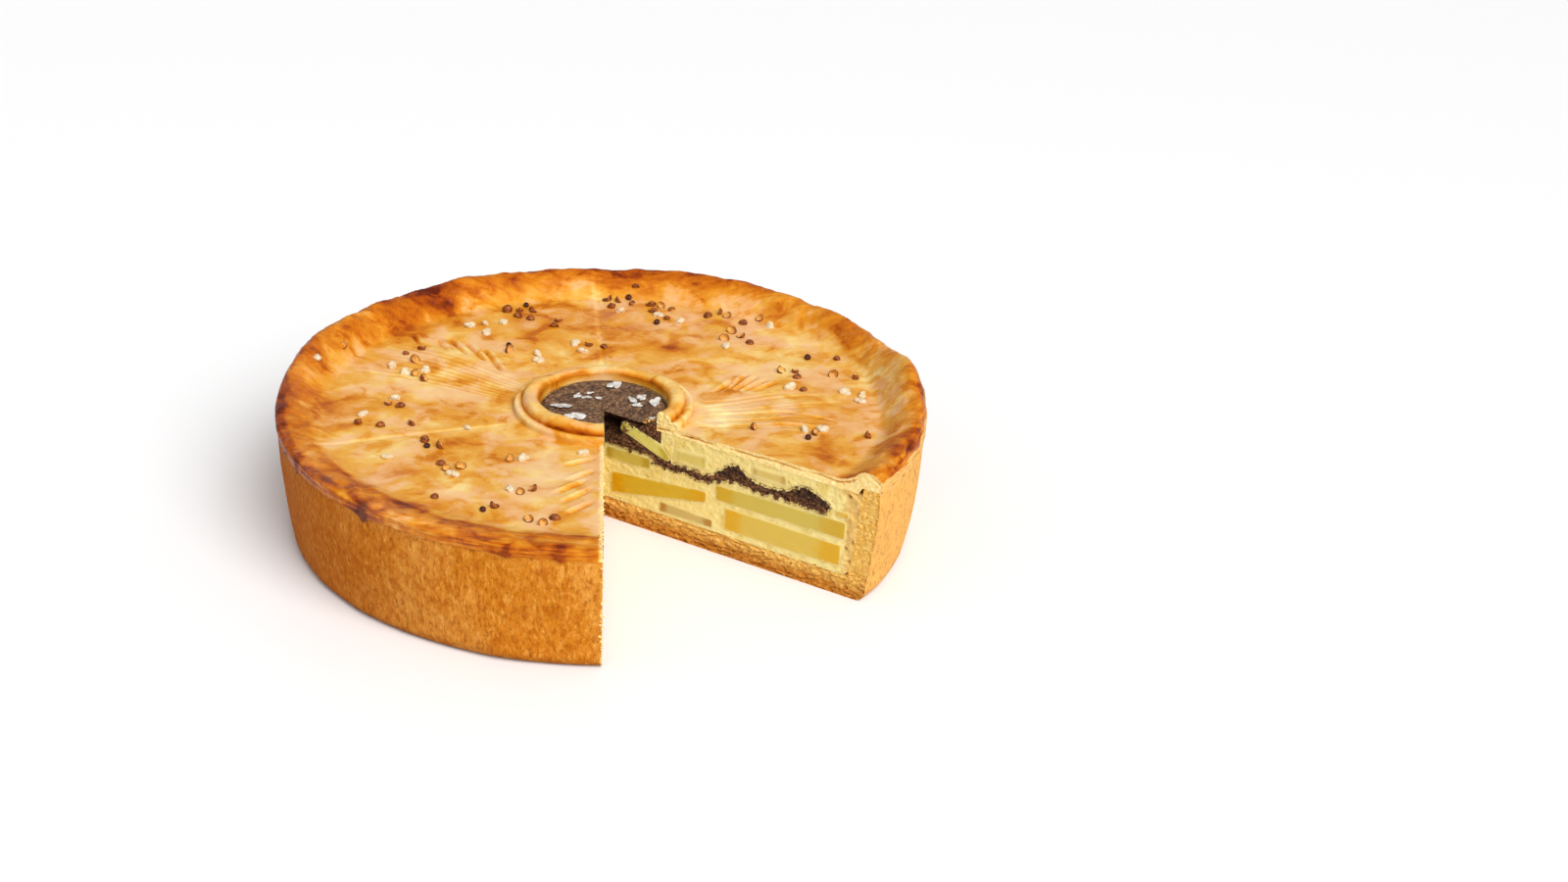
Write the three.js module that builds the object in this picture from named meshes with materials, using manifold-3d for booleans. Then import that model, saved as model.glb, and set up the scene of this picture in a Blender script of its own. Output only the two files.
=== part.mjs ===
// Round potato pie with one wedge cut out: a pastry case, layered filling, a lid with a raised rim,
// and a dough ring round a dark centre. Millimetres, +Z up, the pie's axis on Z, its base on Z = 0.
// Azimuths run counterclockwise from +X, seen from above.

import * as THREE from 'three';
import { mergeVertices } from 'three/addons/utils/BufferGeometryUtils.js';
import Module from 'manifold-3d';

const wasm = await Module();
wasm.setup();

// Driving dimensions
const rimRadius = 120;
const rightCutAzimuth = THREE.MathUtils.degToRad(-31.35);
const leftCutAzimuth = THREE.MathUtils.degToRad(274.7);
const wallHeight = 44.9;
const wallFootRadius = 115;
const wallFlare = 4.6;
const wallFlarePower = 1.7;
const footFillet = 4.5;
const baseThickness = 8.5;
const innerFootRadius = 108.5;
const innerTopRadius = 113;
const innerFillet = 2;
const lidLevel = 46;
const lidLevelByRing = 44.9;
const lidUnderside = 42.2;
const lidHoleRadius = 24;
const rimCrestRadius = 115.6;
const rimFootRadius = 102;
const rimEdgeHeight = 46.4;
const ringInnerRadius = 23.9;
const ringOuterRadius = 33.4;
const ringFlangeHeight = 2.4;
const ringHeight = 5.9;
const plugRadius = 23.4;
const plugCollarRadius = 26.2;
const plugTop = 46;
const gap = 0.35;

// How finely each solid follows the round
const caseStations = 40;
const lidStations = 70;
const ringStations = 30;
const fillingStations = 13;

// Steps smoothly from 0 to 1 as a value runs from one limit to the other.
const smooth = (value, from, to) => THREE.MathUtils.smoothstep(value, from, to);

// A bell-shaped lump of height 1.
const lump = (value, centre, width) => Math.exp(-(((value - centre) / width) ** 2));

// How far round the pie an azimuth lies, from 0 at the right cut to 1 at the left cut.
const wayRound = (azimuth) => (azimuth - rightCutAzimuth) / (leftCutAzimuth - rightCutAzimuth);

// Evenly spaced azimuths from cut to cut.
function stationsFromCutToCut(count) {
  const step = (leftCutAzimuth - rightCutAzimuth) / (count - 1);
  return Array.from({ length: count }, (_, k) => rightCutAzimuth + k * step);
}

// Evenly spaced values between two limits, both included.
function evenly(from, to, count) {
  return Array.from({ length: count }, (_, k) => from + ((to - from) * k) / (count - 1));
}

// Points of a quarter-round from one angle to another, about a centre in the section plane.
function arc(centreR, centreZ, radius, fromAngle, toAngle, count) {
  return evenly(fromAngle, toAngle, count).map((angle) => [
    centreR + radius * Math.cos(angle),
    centreZ + radius * Math.sin(angle),
  ]);
}

// Moves each point of a closed outline outward by a distance, along the mitre of its two edges.
function grow(outline, distance) {
  const mitreLimit = 0.35;
  return outline.map(([r, z], k) => {
    const [previousR, previousZ] = outline[(k + outline.length - 1) % outline.length];
    const [nextR, nextZ] = outline[(k + 1) % outline.length];
    const arriving = new THREE.Vector2(z - previousZ, previousR - r).normalize();
    const leaving = new THREE.Vector2(nextZ - z, r - nextR).normalize();
    const mitre = arriving.clone().add(leaving).normalize();
    const reach = distance / Math.max(mitre.dot(leaving), mitreLimit);
    return [r + mitre.x * reach, z + mitre.y * reach];
  });
}

// Sweeps a section round the pie's axis into a closed solid. The section is a list of loops of
// [radius, height] points: first the outline, counterclockwise, then any holes, clockwise.
// Points on the axis are shared by every station.
function sweepRound(sectionAt, stations) {
  const positions = [];
  const triangles = [];
  const onAxis = new Map();
  const sections = stations.map(sectionAt);

  const addVertex = ([r, z], azimuth, pointNumber) => {
    if (r > 0) {
      positions.push(r * Math.cos(azimuth), r * Math.sin(azimuth), z);
      return positions.length / 3 - 1;
    }
    if (!onAxis.has(pointNumber)) {
      positions.push(0, 0, z);
      onAxis.set(pointNumber, positions.length / 3 - 1);
    }
    return onAxis.get(pointNumber);
  };
  const addTriangle = (a, b, c) => {
    if (a !== b && b !== c && c !== a) triangles.push(a, b, c);
  };

  const rows = sections.map((loops, s) => {
    return loops.flat().map((point, k) => addVertex(point, stations[s], k));
  });
  for (let s = 0; s + 1 < rows.length; s += 1) {
    let first = 0;
    for (const loop of sections[s]) {
      for (let k = 0; k < loop.length; k += 1) {
        const here = first + k;
        const next = first + ((k + 1) % loop.length);
        addTriangle(rows[s][here], rows[s + 1][here], rows[s][next]);
        addTriangle(rows[s + 1][here], rows[s + 1][next], rows[s][next]);
      }
      first += loop.length;
    }
  }
  addCap(sections[0], rows[0], addTriangle, false);
  addCap(sections.at(-1), rows.at(-1), addTriangle, true);

  const geometry = new THREE.BufferGeometry();
  geometry.setAttribute('position', new THREE.Float32BufferAttribute(positions, 3));
  geometry.setIndex(triangles);
  return geometry;
}

// Closes one end of a swept solid: the cut face, with its holes left open.
function addCap(loops, row, addTriangle, reversed) {
  const points = loops.map((loop) => loop.map(([r, z]) => new THREE.Vector2(r, z)));
  const flat = points.flat();
  for (const [a, b, c] of THREE.ShapeUtils.triangulateShape(points[0], points.slice(1))) {
    const clockwise = THREE.ShapeUtils.area([flat[a], flat[b], flat[c]]) < 0;
    if (clockwise === reversed) addTriangle(row[a], row[b], row[c]);
    else addTriangle(row[a], row[c], row[b]);
  }
}

// Turns a geometry into a solid that can be joined and cut.
function toSolid(geometry) {
  const bare = new THREE.BufferGeometry();
  bare.setAttribute('position', geometry.getAttribute('position').clone());
  bare.setIndex(geometry.getIndex());
  const merged = mergeVertices(bare, 1e-4);
  return new wasm.Manifold(new wasm.Mesh({
    numProp: 3,
    vertProperties: new Float32Array(merged.getAttribute('position').array),
    triVerts: new Uint32Array(merged.getIndex().array),
  }));
}

// Turns a joined or cut solid back into a geometry.
function toGeometry(solid) {
  const mesh = solid.getMesh();
  const geometry = new THREE.BufferGeometry();
  geometry.setAttribute('position', new THREE.Float32BufferAttribute(mesh.vertProperties, 3));
  geometry.setIndex(new THREE.Uint32BufferAttribute(mesh.triVerts, 1));
  return geometry;
}

// Pastry case: a thick base and a wall that flares a little towards the rim

function wallOuterRadius(z) {
  return wallFootRadius + wallFlare * (1 - (1 - z / wallHeight) ** wallFlarePower);
}

function wallInnerRadius(z) {
  return innerFootRadius + (innerTopRadius - innerFootRadius) * (z - baseThickness) / (wallHeight - baseThickness);
}

// Gentle unevenness of the wall, none at its foot and top.
function wallUnevenness(azimuth, z) {
  const amplitude = 0.35;
  const window = smooth(z, footFillet, 12) * (1 - smooth(z, 36, wallHeight));
  return amplitude * window * (Math.sin(7 * azimuth + 0.15 * z) + Math.sin(13 * azimuth - 0.1 * z)) / 2;
}

function caseSection(azimuth) {
  const footRadius = wallOuterRadius(footFillet);
  const foot = arc(footRadius - footFillet, footFillet, footFillet, -Math.PI / 2, 0, 4);
  const wall = evenly(12, wallHeight, 5).map((z) => [wallOuterRadius(z) + wallUnevenness(azimuth, z), z]);
  const corner = arc(
    wallInnerRadius(baseThickness + innerFillet) - innerFillet,
    baseThickness + innerFillet,
    innerFillet,
    0,
    -Math.PI / 2,
    3,
  );
  return [[[0, 0], ...foot, ...wall, [wallInnerRadius(wallHeight), wallHeight], ...corner, [0, baseThickness]]];
}

// Pastry lid: nearly level, with a hole in the middle and a lumpy raised rim

// Places where the rim swells up: azimuth and half-width in degrees, and how far it rises.
const rimSwells = [
  { azimuth: 12, halfWidth: 9, rise: 3.6 },
  { azimuth: 58, halfWidth: 11, rise: 1.8 },
  { azimuth: 123, halfWidth: 8, rise: 2.6 },
  { azimuth: 162, halfWidth: 14, rise: 1.3 },
];

// Height of the rim's crest above the lid: high round the back, low at the front left.
function rimRise(azimuth) {
  const lowRise = 2.6;
  const highRise = 8.2;
  const rightShare = 0.6 + 0.4 * smooth(azimuth, rightCutAzimuth, 0.2);
  const leftShare = 1 - smooth(azimuth, 2.85, 3.5);
  const waves = 0.6 * Math.sin(4.6 * azimuth + 1.1) + 0.45 * Math.sin(11 * azimuth);
  const degrees = THREE.MathUtils.radToDeg(azimuth);
  const swells = rimSwells.map((swell) => swell.rise * lump(degrees, swell.azimuth, swell.halfWidth));
  const lift = swells.reduce((sum, rise) => sum + rise, 0);
  return lowRise + (highRise - lowRise) * rightShare * leftShare + waves * (0.4 + 0.6 * leftShare) + lift;
}

// Rounded profile of the rim across its width: 0 at its foot and 1 on its crest.
function rimProfile(r) {
  if (r < rimCrestRadius) return smooth(r, rimFootRadius, rimCrestRadius);
  return Math.sqrt(Math.max(0, 1 - ((r - rimCrestRadius) / (rimRadius - rimCrestRadius)) ** 2));
}

function lidTop(r, azimuth) {
  const level = lidLevelByRing + (lidLevel - lidLevelByRing) * smooth(r, 42, 78);
  const wrinkles = 0.5 * Math.sin(23 * azimuth + 0.9 * r) * smooth(r, 104, 110) * (1 - smooth(r, 117, rimRadius));
  const edgeDrop = (rimEdgeHeight - lidLevel) * smooth(r, rimCrestRadius, rimRadius);
  return level + rimRise(azimuth) * rimProfile(r) + wrinkles + edgeDrop;
}

function lidSection(azimuth) {
  const topRadii = [119.8, 118.8, 117.2, 115.4, 113, 110.5, 107.5, 103.5, 78, 42, lidHoleRadius];
  const top = topRadii.map((r) => [r, lidTop(r, azimuth)]);
  const overWall = wallHeight + gap;
  const shoulder = innerTopRadius - 0.6;
  const under = [[lidHoleRadius, lidUnderside], [shoulder - 1.6, lidUnderside], [shoulder, overWall]];
  return [[...under, [119.2, overWall], [rimRadius, (overWall + rimEdgeHeight) / 2], ...top]];
}

// Two lines pressed into the lid with the back of a knife, from ring to rim: azimuths in degrees.
const pressedLines = [
  { nearAzimuth: 94, farAzimuth: 96, nearRadius: 42, farRadius: 104, width: 1.4 },
  { nearAzimuth: -150.5, farAzimuth: -154.5, nearRadius: 42, farRadius: 104, width: 1.4 },
];

// Barbs of the three feathers drawn on the lid, left, right and front: where each stroke starts and ends.
const barbs = [
  { from: [-80.5, 59.5], to: [-76, 49.5] },
  { from: [-70, 53.5], to: [-65, 46] },
  { from: [-66, 57], to: [-56, 40.5] },
  { from: [-60, 55.5], to: [-48.5, 36] },
  { from: [-52, 49], to: [-44.5, 36] },
  { from: [-47.5, 40], to: [-41.5, 29] },
  { from: [41, 18.5], to: [48, 31] },
  { from: [44, 18.5], to: [52.5, 35.5] },
  { from: [47.5, 19], to: [56.5, 34] },
  { from: [51, 19], to: [60, 30.5] },
  { from: [55, 19.5], to: [64, 28] },
  { from: [-10.5, -51.5], to: [0.8, -44] },
  { from: [-8, -64], to: [1.6, -54] },
  { from: [-11.5, -76], to: [0, -62] },
  { from: [-8, -82.5], to: [2.4, -69] },
  { from: [-5.5, -91], to: [3, -80] },
];
const barbWidth = 1.3;

// Point on the lid at a radius and an azimuth in degrees.
function pointAt(radius, azimuth) {
  const angle = THREE.MathUtils.degToRad(azimuth);
  return new THREE.Vector2(radius * Math.cos(angle), radius * Math.sin(angle));
}

// Ends and width of every groove on the lid, seen from above.
function grooves() {
  const lines = pressedLines.map(({ nearAzimuth, farAzimuth, nearRadius, farRadius, width }) => ({
    from: pointAt(nearRadius, nearAzimuth),
    to: pointAt(farRadius, farAzimuth),
    width,
  }));
  const strokes = barbs.map(({ from, to }) => ({
    from: new THREE.Vector2(...from),
    to: new THREE.Vector2(...to),
    width: barbWidth,
  }));
  return [...lines, ...strokes];
}

// Solids that cut the grooves to an even depth.
function grooveCutters() {
  const depth = 0.5;
  const cutterHeight = 6;
  return grooves().map(({ from, to, width }) => {
    const middle = from.clone().add(to).multiplyScalar(0.5);
    const geometry = new THREE.BoxGeometry(from.distanceTo(to), width, cutterHeight);
    geometry.rotateZ(to.clone().sub(from).angle());
    const floor = lidTop(middle.length(), middle.angle()) - depth;
    geometry.translate(middle.x, middle.y, floor + cutterHeight / 2);
    return toSolid(geometry);
  });
}

// Pinches of pepper husks and coarse salt strewn on the lid: where they lie, how wide they spread, and counts.
const pinches = [
  { x: -40, y: 84, spread: 8, husks: 6, crystals: 0 },
  { x: -51, y: 68, spread: 9, husks: 0, crystals: 4 },
  { x: -24, y: 76, spread: 5, husks: 2, crystals: 0 },
  { x: -40, y: 49, spread: 4, husks: 2, crystals: 0 },
  { x: -28, y: 43, spread: 4.5, husks: 0, crystals: 2 },
  { x: -10, y: 54, spread: 7, husks: 2, crystals: 2 },
  { x: -2, y: 98, spread: 8, husks: 4, crystals: 1 },
  { x: 4, y: 106, spread: 4, husks: 2, crystals: 0 },
  { x: 15, y: 95, spread: 7, husks: 4, crystals: 1 },
  { x: 18, y: 83, spread: 6, husks: 2, crystals: 1 },
  { x: 38, y: 91, spread: 5, husks: 3, crystals: 0 },
  { x: 54, y: 85, spread: 7, husks: 2, crystals: 1 },
  { x: 47, y: 67, spread: 9, husks: 4, crystals: 1 },
  { x: 83, y: 50, spread: 9, husks: 2, crystals: 0 },
  { x: 69, y: 37, spread: 5, husks: 3, crystals: 0 },
  { x: 91, y: 33, spread: 7, husks: 2, crystals: 0 },
  { x: 72, y: 21, spread: 4, husks: 1, crystals: 1 },
  { x: 94, y: 18, spread: 6, husks: 0, crystals: 3 },
  { x: 56, y: -14, spread: 1, husks: 1, crystals: 0 },
  { x: 77, y: -17, spread: 6, husks: 2, crystals: 2 },
  { x: 98, y: -18, spread: 1, husks: 1, crystals: 0 },
  { x: -77, y: 37, spread: 8, husks: 3, crystals: 0 },
  { x: -80, y: 25, spread: 6, husks: 0, crystals: 2 },
  { x: -71, y: 19, spread: 5.5, husks: 2, crystals: 1 },
  { x: -102, y: 33, spread: 1, husks: 1, crystals: 0 },
  { x: -77, y: -8, spread: 5, husks: 2, crystals: 1 },
  { x: -109, y: 16, spread: 1, husks: 0, crystals: 1 },
  { x: -84, y: -25, spread: 8, husks: 2, crystals: 1 },
  { x: -67, y: -24, spread: 1, husks: 1, crystals: 0 },
  { x: -47, y: -24, spread: 1, husks: 0, crystals: 1 },
  { x: -58, y: -42, spread: 5, husks: 3, crystals: 0 },
  { x: -72, y: -53, spread: 1, husks: 0, crystals: 1 },
  { x: -49, y: -59, spread: 6, husks: 3, crystals: 1 },
  { x: -28, y: -48, spread: 4.2, husks: 1, crystals: 1 },
  { x: -51, y: -82, spread: 1, husks: 1, crystals: 0 },
  { x: -22, y: -75, spread: 5, husks: 2, crystals: 1 },
  { x: -33, y: -89, spread: 4, husks: 2, crystals: 0 },
  { x: -12, y: -97, spread: 6, husks: 3, crystals: 0 },
  { x: -4, y: -40, spread: 1, husks: 0, crystals: 1 },
];
const goldenAngle = Math.PI * (3 - Math.sqrt(5));

// Places of a pinch's grains, spiralling out from its middle by the golden angle.
function pinchPlaces({ x, y, spread, husks, crystals }) {
  const count = husks + crystals;
  const start = Math.atan2(y, x);
  return Array.from({ length: count }, (_, k) => {
    const reach = spread * Math.sqrt((k + 0.5) / count);
    const turn = start + k * goldenAngle;
    const isCrystal = Math.floor(((k + 1) * crystals) / count) > Math.floor((k * crystals) / count);
    return {
      x: x + reach * Math.cos(turn),
      y: y + reach * Math.sin(turn),
      turn: turn * 3.7,
      isCrystal,
      scale: 0.85 + 0.3 * ((k * 0.618) % 1),
    };
  });
}

// One grain: a flattened husk or a salt crystal, sunk a little into the lid.
function grainSolid({ x, y, turn, isCrystal, scale }) {
  const husk = { width: 4.2, height: 2 };
  const crystal = { length: 3.6, width: 2.8, height: 1.9 };
  const geometry = isCrystal
    ? new THREE.BoxGeometry(crystal.length, crystal.width, crystal.height)
    : new THREE.IcosahedronGeometry(husk.width / 2, 0).scale(1, 1, husk.height / husk.width);
  geometry.scale(scale, scale, scale);
  geometry.rotateX(isCrystal ? 0.35 * Math.sin(turn) : 0);
  geometry.rotateZ(turn);
  geometry.translate(x, y, lidTop(Math.hypot(x, y), Math.atan2(y, x)) + 0.3);
  return toSolid(geometry);
}

function lidGeometry() {
  let lid = toSolid(sweepRound(lidSection, stationsFromCutToCut(lidStations)));
  for (const cutter of grooveCutters()) lid = lid.subtract(cutter);
  for (const pinch of pinches) {
    for (const place of pinchPlaces(pinch)) lid = lid.add(grainSolid(place));
  }
  return toGeometry(lid);
}

// Dough ring round the hole: a low flange outside and a rounded bead inside

// How far the bead is pressed down: most at the back, less beside the right cut.
const ringPressed = (azimuth) => 1.9 * lump(azimuth, 1.6, 1.15) + 0.8 * lump(azimuth, -0.17, 0.6);

function ringSection(azimuth) {
  const foot = lidLevelByRing + gap;
  const beadRadius = 3.1;
  const swell = 0.25 * Math.sin(5 * azimuth) + 0.2 * Math.sin(9 * azimuth + 1);
  const beadCentre = [ringInnerRadius + beadRadius + 0.2, foot + ringHeight - beadRadius + swell];
  const flangeTop = foot + ringFlangeHeight;
  const pressed = ringPressed(azimuth) / (ringHeight - ringFlangeHeight);
  const flatten = ([r, z]) => [r, z - pressed * Math.max(0, z - flangeTop)];
  const bead = arc(...beadCentre, beadRadius, -0.15, Math.PI + 0.1, 7).map(flatten);
  return [[
    [ringInnerRadius, foot],
    [ringOuterRadius, foot],
    [ringOuterRadius, flangeTop - 0.8],
    [ringOuterRadius - 0.9, flangeTop],
    [ringOuterRadius - 2.6, flangeTop - 0.2],
    ...bead,
  ]];
}

// Filling layers, each with its section at the right cut, bent alike as they run round

// Drift of the layers between the two cuts: none at the right cut, the axis, the base, the wall and the lid.
function drift([r, z], azimuth) {
  const round = wayRound(azimuth);
  const heightShare = Math.sin(Math.PI * THREE.MathUtils.clamp((z - 9) / (lidUnderside - gap - 9), 0, 1));
  const radiusShare = Math.sin(Math.PI * THREE.MathUtils.clamp(r / 108, 0, 1));
  const outsidePlug = smooth(r, 0, 60);
  const belowPlug = 1 - smooth(z, 20, 40);
  return [
    r + 5 * Math.sin(4.1 * round) * radiusShare * belowPlug,
    z + 2.2 * Math.sin(5.5 * round) * heightShare * outsidePlug,
  ];
}

const drifted = (loop, azimuth) => loop.map((point) => drift(point, azimuth));

// Section of one potato slice: inner and outer end, each with its low and high edge, corners cut off.
function sliceSection({ inner, innerLow, innerHigh, outer, outerLow, outerHigh }) {
  const corner = 1.1;
  const along = corner / (outer - inner);
  const low = (share) => innerLow + (outerLow - innerLow) * share;
  const high = (share) => innerHigh + (outerHigh - innerHigh) * share;
  return [
    [inner + corner, low(along)],
    [outer - corner, low(1 - along)],
    [outer, outerLow + corner],
    [outer, outerHigh - corner],
    [outer - corner, high(1 - along)],
    [inner + corner, high(along)],
    [inner, innerHigh - corner],
    [inner, innerLow + corner],
  ];
}

const potatoSlices = {
  potato_core: sliceSection({ inner: 1.5, innerLow: 25, innerHigh: 29.8, outer: 21.8, outerLow: 25.4, outerHigh: 30.1 }),
  potato_middle_outer: sliceSection({
    inner: 51, innerLow: 21.8, innerHigh: 28.2, outer: 106.5, outerLow: 22.2, outerHigh: 29.5,
  }),
  potato_low_inner: sliceSection({ inner: 4, innerLow: 11, innerHigh: 20, outer: 47, outerLow: 19, outerHigh: 24 }),
  potato_low_small: sliceSection({ inner: 26, innerLow: 9.6, innerHigh: 14, outer: 50, outerLow: 9.8, outerHigh: 13.2 }),
  potato_low_outer: sliceSection({ inner: 55, innerLow: 10.8, innerHigh: 20, outer: 105, outerLow: 11.2, outerHigh: 20 }),
  potato_top_inner: sliceSection({
    inner: 32.5, innerLow: 32, innerHigh: 37.6, outer: 47, outerLow: 32.2, outerHigh: 38.4,
  }),
  potato_top_outer: sliceSection({ inner: 66, innerLow: 36, innerHigh: 40.4, outer: 81.5, outerLow: 36, outerHigh: 40.8 }),
  potato_sliver: sliceSection({ inner: 102, innerLow: 30.7, innerHigh: 33.2, outer: 107.6, outerLow: 30.9, outerHigh: 33.6 }),
};

// Slanting slice under the dark plug, wedged between it and the dark layer.
const collarSlice = [
  [7.8, 38.3],
  [22, 33.1],
  [29.2, 31],
  [30.4, 31.6],
  [30.2, 33.4],
  [26, 37.2],
  [10.2, 42],
  [8.4, 41.2],
];
const collarRoom = grow(collarSlice, gap);

// Dark layer: thin near the middle, with two humps farther out
const darkLayerStart = 31;
const darkLayerEnd = 98;
const darkSamples = 12;
const innerSwell = (r) => 0.3 * lump(r, 37, 6);
const darkLower = (r) => 27.9 + innerSwell(r) + 2.4 * smooth(r, 47, 53) + 1.4 * lump(r, 60, 4) + 0.4 * lump(r, 82, 12);
const darkUpper = (r) => 30.4 + innerSwell(r) + 2.9 * smooth(r, 47, 53) + 4.7 * lump(r, 59, 5.5) + 4.6 * lump(r, 90, 8);

// Outline of the dark filling: the layer, the core under the plug, and the plug that fills the ring.
function darkOutline() {
  const radii = evenly(darkLayerStart, darkLayerEnd, darkSamples);
  const coreFloor = 31.3;
  const lower = [[0, coreFloor], [22.3, coreFloor], [23.4, 28.4], ...radii.map((r) => [r, darkLower(r)])];
  const tip = [[darkLayerEnd + 2, (darkLower(darkLayerEnd) + darkUpper(darkLayerEnd)) / 2]];
  const upper = radii.toReversed().map((r) => [r, darkUpper(r)]);
  const roomForCollar = [2, 1, 0, 7, 6, 5].map((k) => collarRoom[k]);
  const underLid = lidUnderside - gap;
  const plug = [
    [plugCollarRadius, underLid],
    [plugRadius, underLid],
    [plugRadius, plugTop - 0.8],
    [plugRadius - 1.2, plugTop],
    [0, plugTop],
  ];
  return [...lower, ...tip, ...upper, ...roomForCollar, ...plug];
}

function darkGeometry() {
  const outline = darkOutline();
  const section = (azimuth) => [drifted(outline, azimuth)];
  let dark = toSolid(sweepRound(section, stationsFromCutToCut(fillingStations)));
  for (const flake of flakeSolids()) dark = dark.add(flake);
  return toGeometry(dark);
}

// Salt flakes strewn on the plug: where each lies, its length, width and turn.
const saltFlakes = [
  { x: -16, y: -3.5, length: 7, width: 5.5, turn: 0.1 },
  { x: -9.5, y: -12, length: 7, width: 4, turn: -0.25 },
  { x: -10.3, y: 7, length: 4, width: 2.2, turn: 1.3 },
  { x: -6.8, y: 6.2, length: 3.6, width: 2.4, turn: 0.2 },
  { x: -6, y: 10.2, length: 2.6, width: 1.8, turn: 0.4 },
  { x: -2.5, y: 5.6, length: 2.6, width: 1.8, turn: -0.2 },
  { x: 2.6, y: 17.4, length: 6.5, width: 4.2, turn: 1.2 },
  { x: 10, y: 5, length: 4.6, width: 2.4, turn: -1.1 },
  { x: 13.8, y: 7.4, length: 4.6, width: 3, turn: 1 },
  { x: 12.8, y: 0.4, length: 3.6, width: 2.8, turn: 0.3 },
  { x: 18.8, y: 4.2, length: 6.5, width: 3.6, turn: 1.25 },
  { x: 18.8, y: -8, length: 3, width: 2, turn: 0.2 },
];

function flakeSolids() {
  const height = 1.3;
  const lift = 0.25;
  return saltFlakes.map(({ x, y, length, width, turn }) => {
    const geometry = new THREE.BoxGeometry(length, width, height);
    geometry.rotateZ(turn);
    geometry.translate(x, y, plugTop + lift);
    return toSolid(geometry);
  });
}

// Cream: all that is left of the inside of the case, round the potato and the dark filling
function creamLoops() {
  const floor = baseThickness + gap;
  const ceiling = lidUnderside - gap;
  const wallClearance = 0.5;
  const innerWall = (z) => wallInnerRadius(z) - wallClearance;
  const dark = grow(darkOutline(), gap);
  const darkLayerFirst = 3;
  const darkLayerLast = darkLayerFirst + 2 * darkSamples;
  const alongDark = dark.slice(0, darkLayerLast + 1).toReversed();
  alongDark[alongDark.length - 1][0] = 0;
  const byCollar = [
    [plugCollarRadius + gap, ceiling],
    [plugCollarRadius + gap, collarRoom[5][1] - 0.2],
    collarRoom[4],
    collarRoom[3],
  ];
  const outline = [
    [0, floor],
    [innerWall(floor) - innerFillet, floor],
    [innerWall(floor + innerFillet), floor + innerFillet],
    [innerWall(38), 38],
    [innerWall(ceiling) - 1.2, ceiling],
    ...byCollar,
    ...alongDark,
  ];
  const rooms = Object.values(potatoSlices).map((slice) => grow(slice, gap).toReversed());
  return [outline, ...rooms];
}

// Materials, with colours as the food shows them
const finishes = {
  glazedPastry: { color: '#e6a54c', roughness: 0.42, metalness: 0 },
  bakedPastry: { color: '#cf8d43', roughness: 0.75, metalness: 0 },
  ringPastry: { color: '#e29a45', roughness: 0.45, metalness: 0 },
  darkStuffing: { color: '#4d3524', roughness: 0.9, metalness: 0 },
  cream: { color: '#efd28a', roughness: 0.55, metalness: 0 },
  potato: { color: '#dcb84a', roughness: 0.4, metalness: 0 },
};

// Makes one named piece of the pie.
function piece(name, geometry, finish) {
  geometry.computeVertexNormals();
  const mesh = new THREE.Mesh(geometry, new THREE.MeshStandardMaterial(finish));
  mesh.name = name;
  return mesh;
}

function buildPie() {
  const pie = new THREE.Group();
  const fillingAzimuths = stationsFromCutToCut(fillingStations);
  const cream = creamLoops();
  const creamSection = (azimuth) => cream.map((loop) => drifted(loop, azimuth));
  pie.add(piece('pastry_case', sweepRound(caseSection, stationsFromCutToCut(caseStations)), finishes.bakedPastry));
  pie.add(piece('pastry_lid', lidGeometry(), finishes.glazedPastry));
  pie.add(piece('dough_ring', sweepRound(ringSection, stationsFromCutToCut(ringStations)), finishes.ringPastry));
  pie.add(piece('dark_stuffing', darkGeometry(), finishes.darkStuffing));
  pie.add(piece('cream', sweepRound(creamSection, fillingAzimuths), finishes.cream));
  for (const [name, slice] of Object.entries({ ...potatoSlices, potato_collar: collarSlice })) {
    const section = (azimuth) => [drifted(slice, azimuth)];
    pie.add(piece(name, sweepRound(section, fillingAzimuths), finishes.potato));
  }
  return pie;
}

export default buildPie();
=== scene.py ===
"""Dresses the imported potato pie: pastry, filling, strewn grains, floor, light and camera."""

import logging
import math
from collections.abc import Callable, Sequence
from dataclasses import dataclass
from enum import Enum

import bmesh
import bpy
import numpy as np
from mathutils import Matrix, Vector
from mathutils.geometry import delaunay_2d_cdt


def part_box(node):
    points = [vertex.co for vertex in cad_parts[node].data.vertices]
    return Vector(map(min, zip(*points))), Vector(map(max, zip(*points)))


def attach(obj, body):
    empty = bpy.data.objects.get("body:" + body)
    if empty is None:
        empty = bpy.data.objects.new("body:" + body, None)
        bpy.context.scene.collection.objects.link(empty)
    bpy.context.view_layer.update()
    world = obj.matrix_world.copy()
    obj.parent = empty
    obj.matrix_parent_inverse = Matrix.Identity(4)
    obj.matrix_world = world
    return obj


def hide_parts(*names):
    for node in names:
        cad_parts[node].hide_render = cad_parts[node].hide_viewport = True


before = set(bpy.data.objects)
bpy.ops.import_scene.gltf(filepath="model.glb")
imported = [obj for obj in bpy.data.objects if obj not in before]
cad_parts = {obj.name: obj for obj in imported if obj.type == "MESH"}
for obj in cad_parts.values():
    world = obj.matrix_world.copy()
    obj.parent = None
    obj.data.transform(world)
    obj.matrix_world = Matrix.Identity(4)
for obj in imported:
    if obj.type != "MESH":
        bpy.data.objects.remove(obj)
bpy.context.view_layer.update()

log = logging.getLogger("pie")

# Lengths in this script are millimetres until a mesh is made.
MM = 0.001
BODY = "root"
RIGHT_CUT = math.radians(-31.35)
LEFT_CUT = math.radians(274.7)
GOLDEN_ANGLE = math.pi * (3 - math.sqrt(5))
# Gap between touching pieces, and how far the cream reaches under what it borders on.
HAIRLINE = 0.05
LAP = 0.12
# Angle in degrees above which an edge stays sharp.
SHARP_EDGE = 40.0
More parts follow.
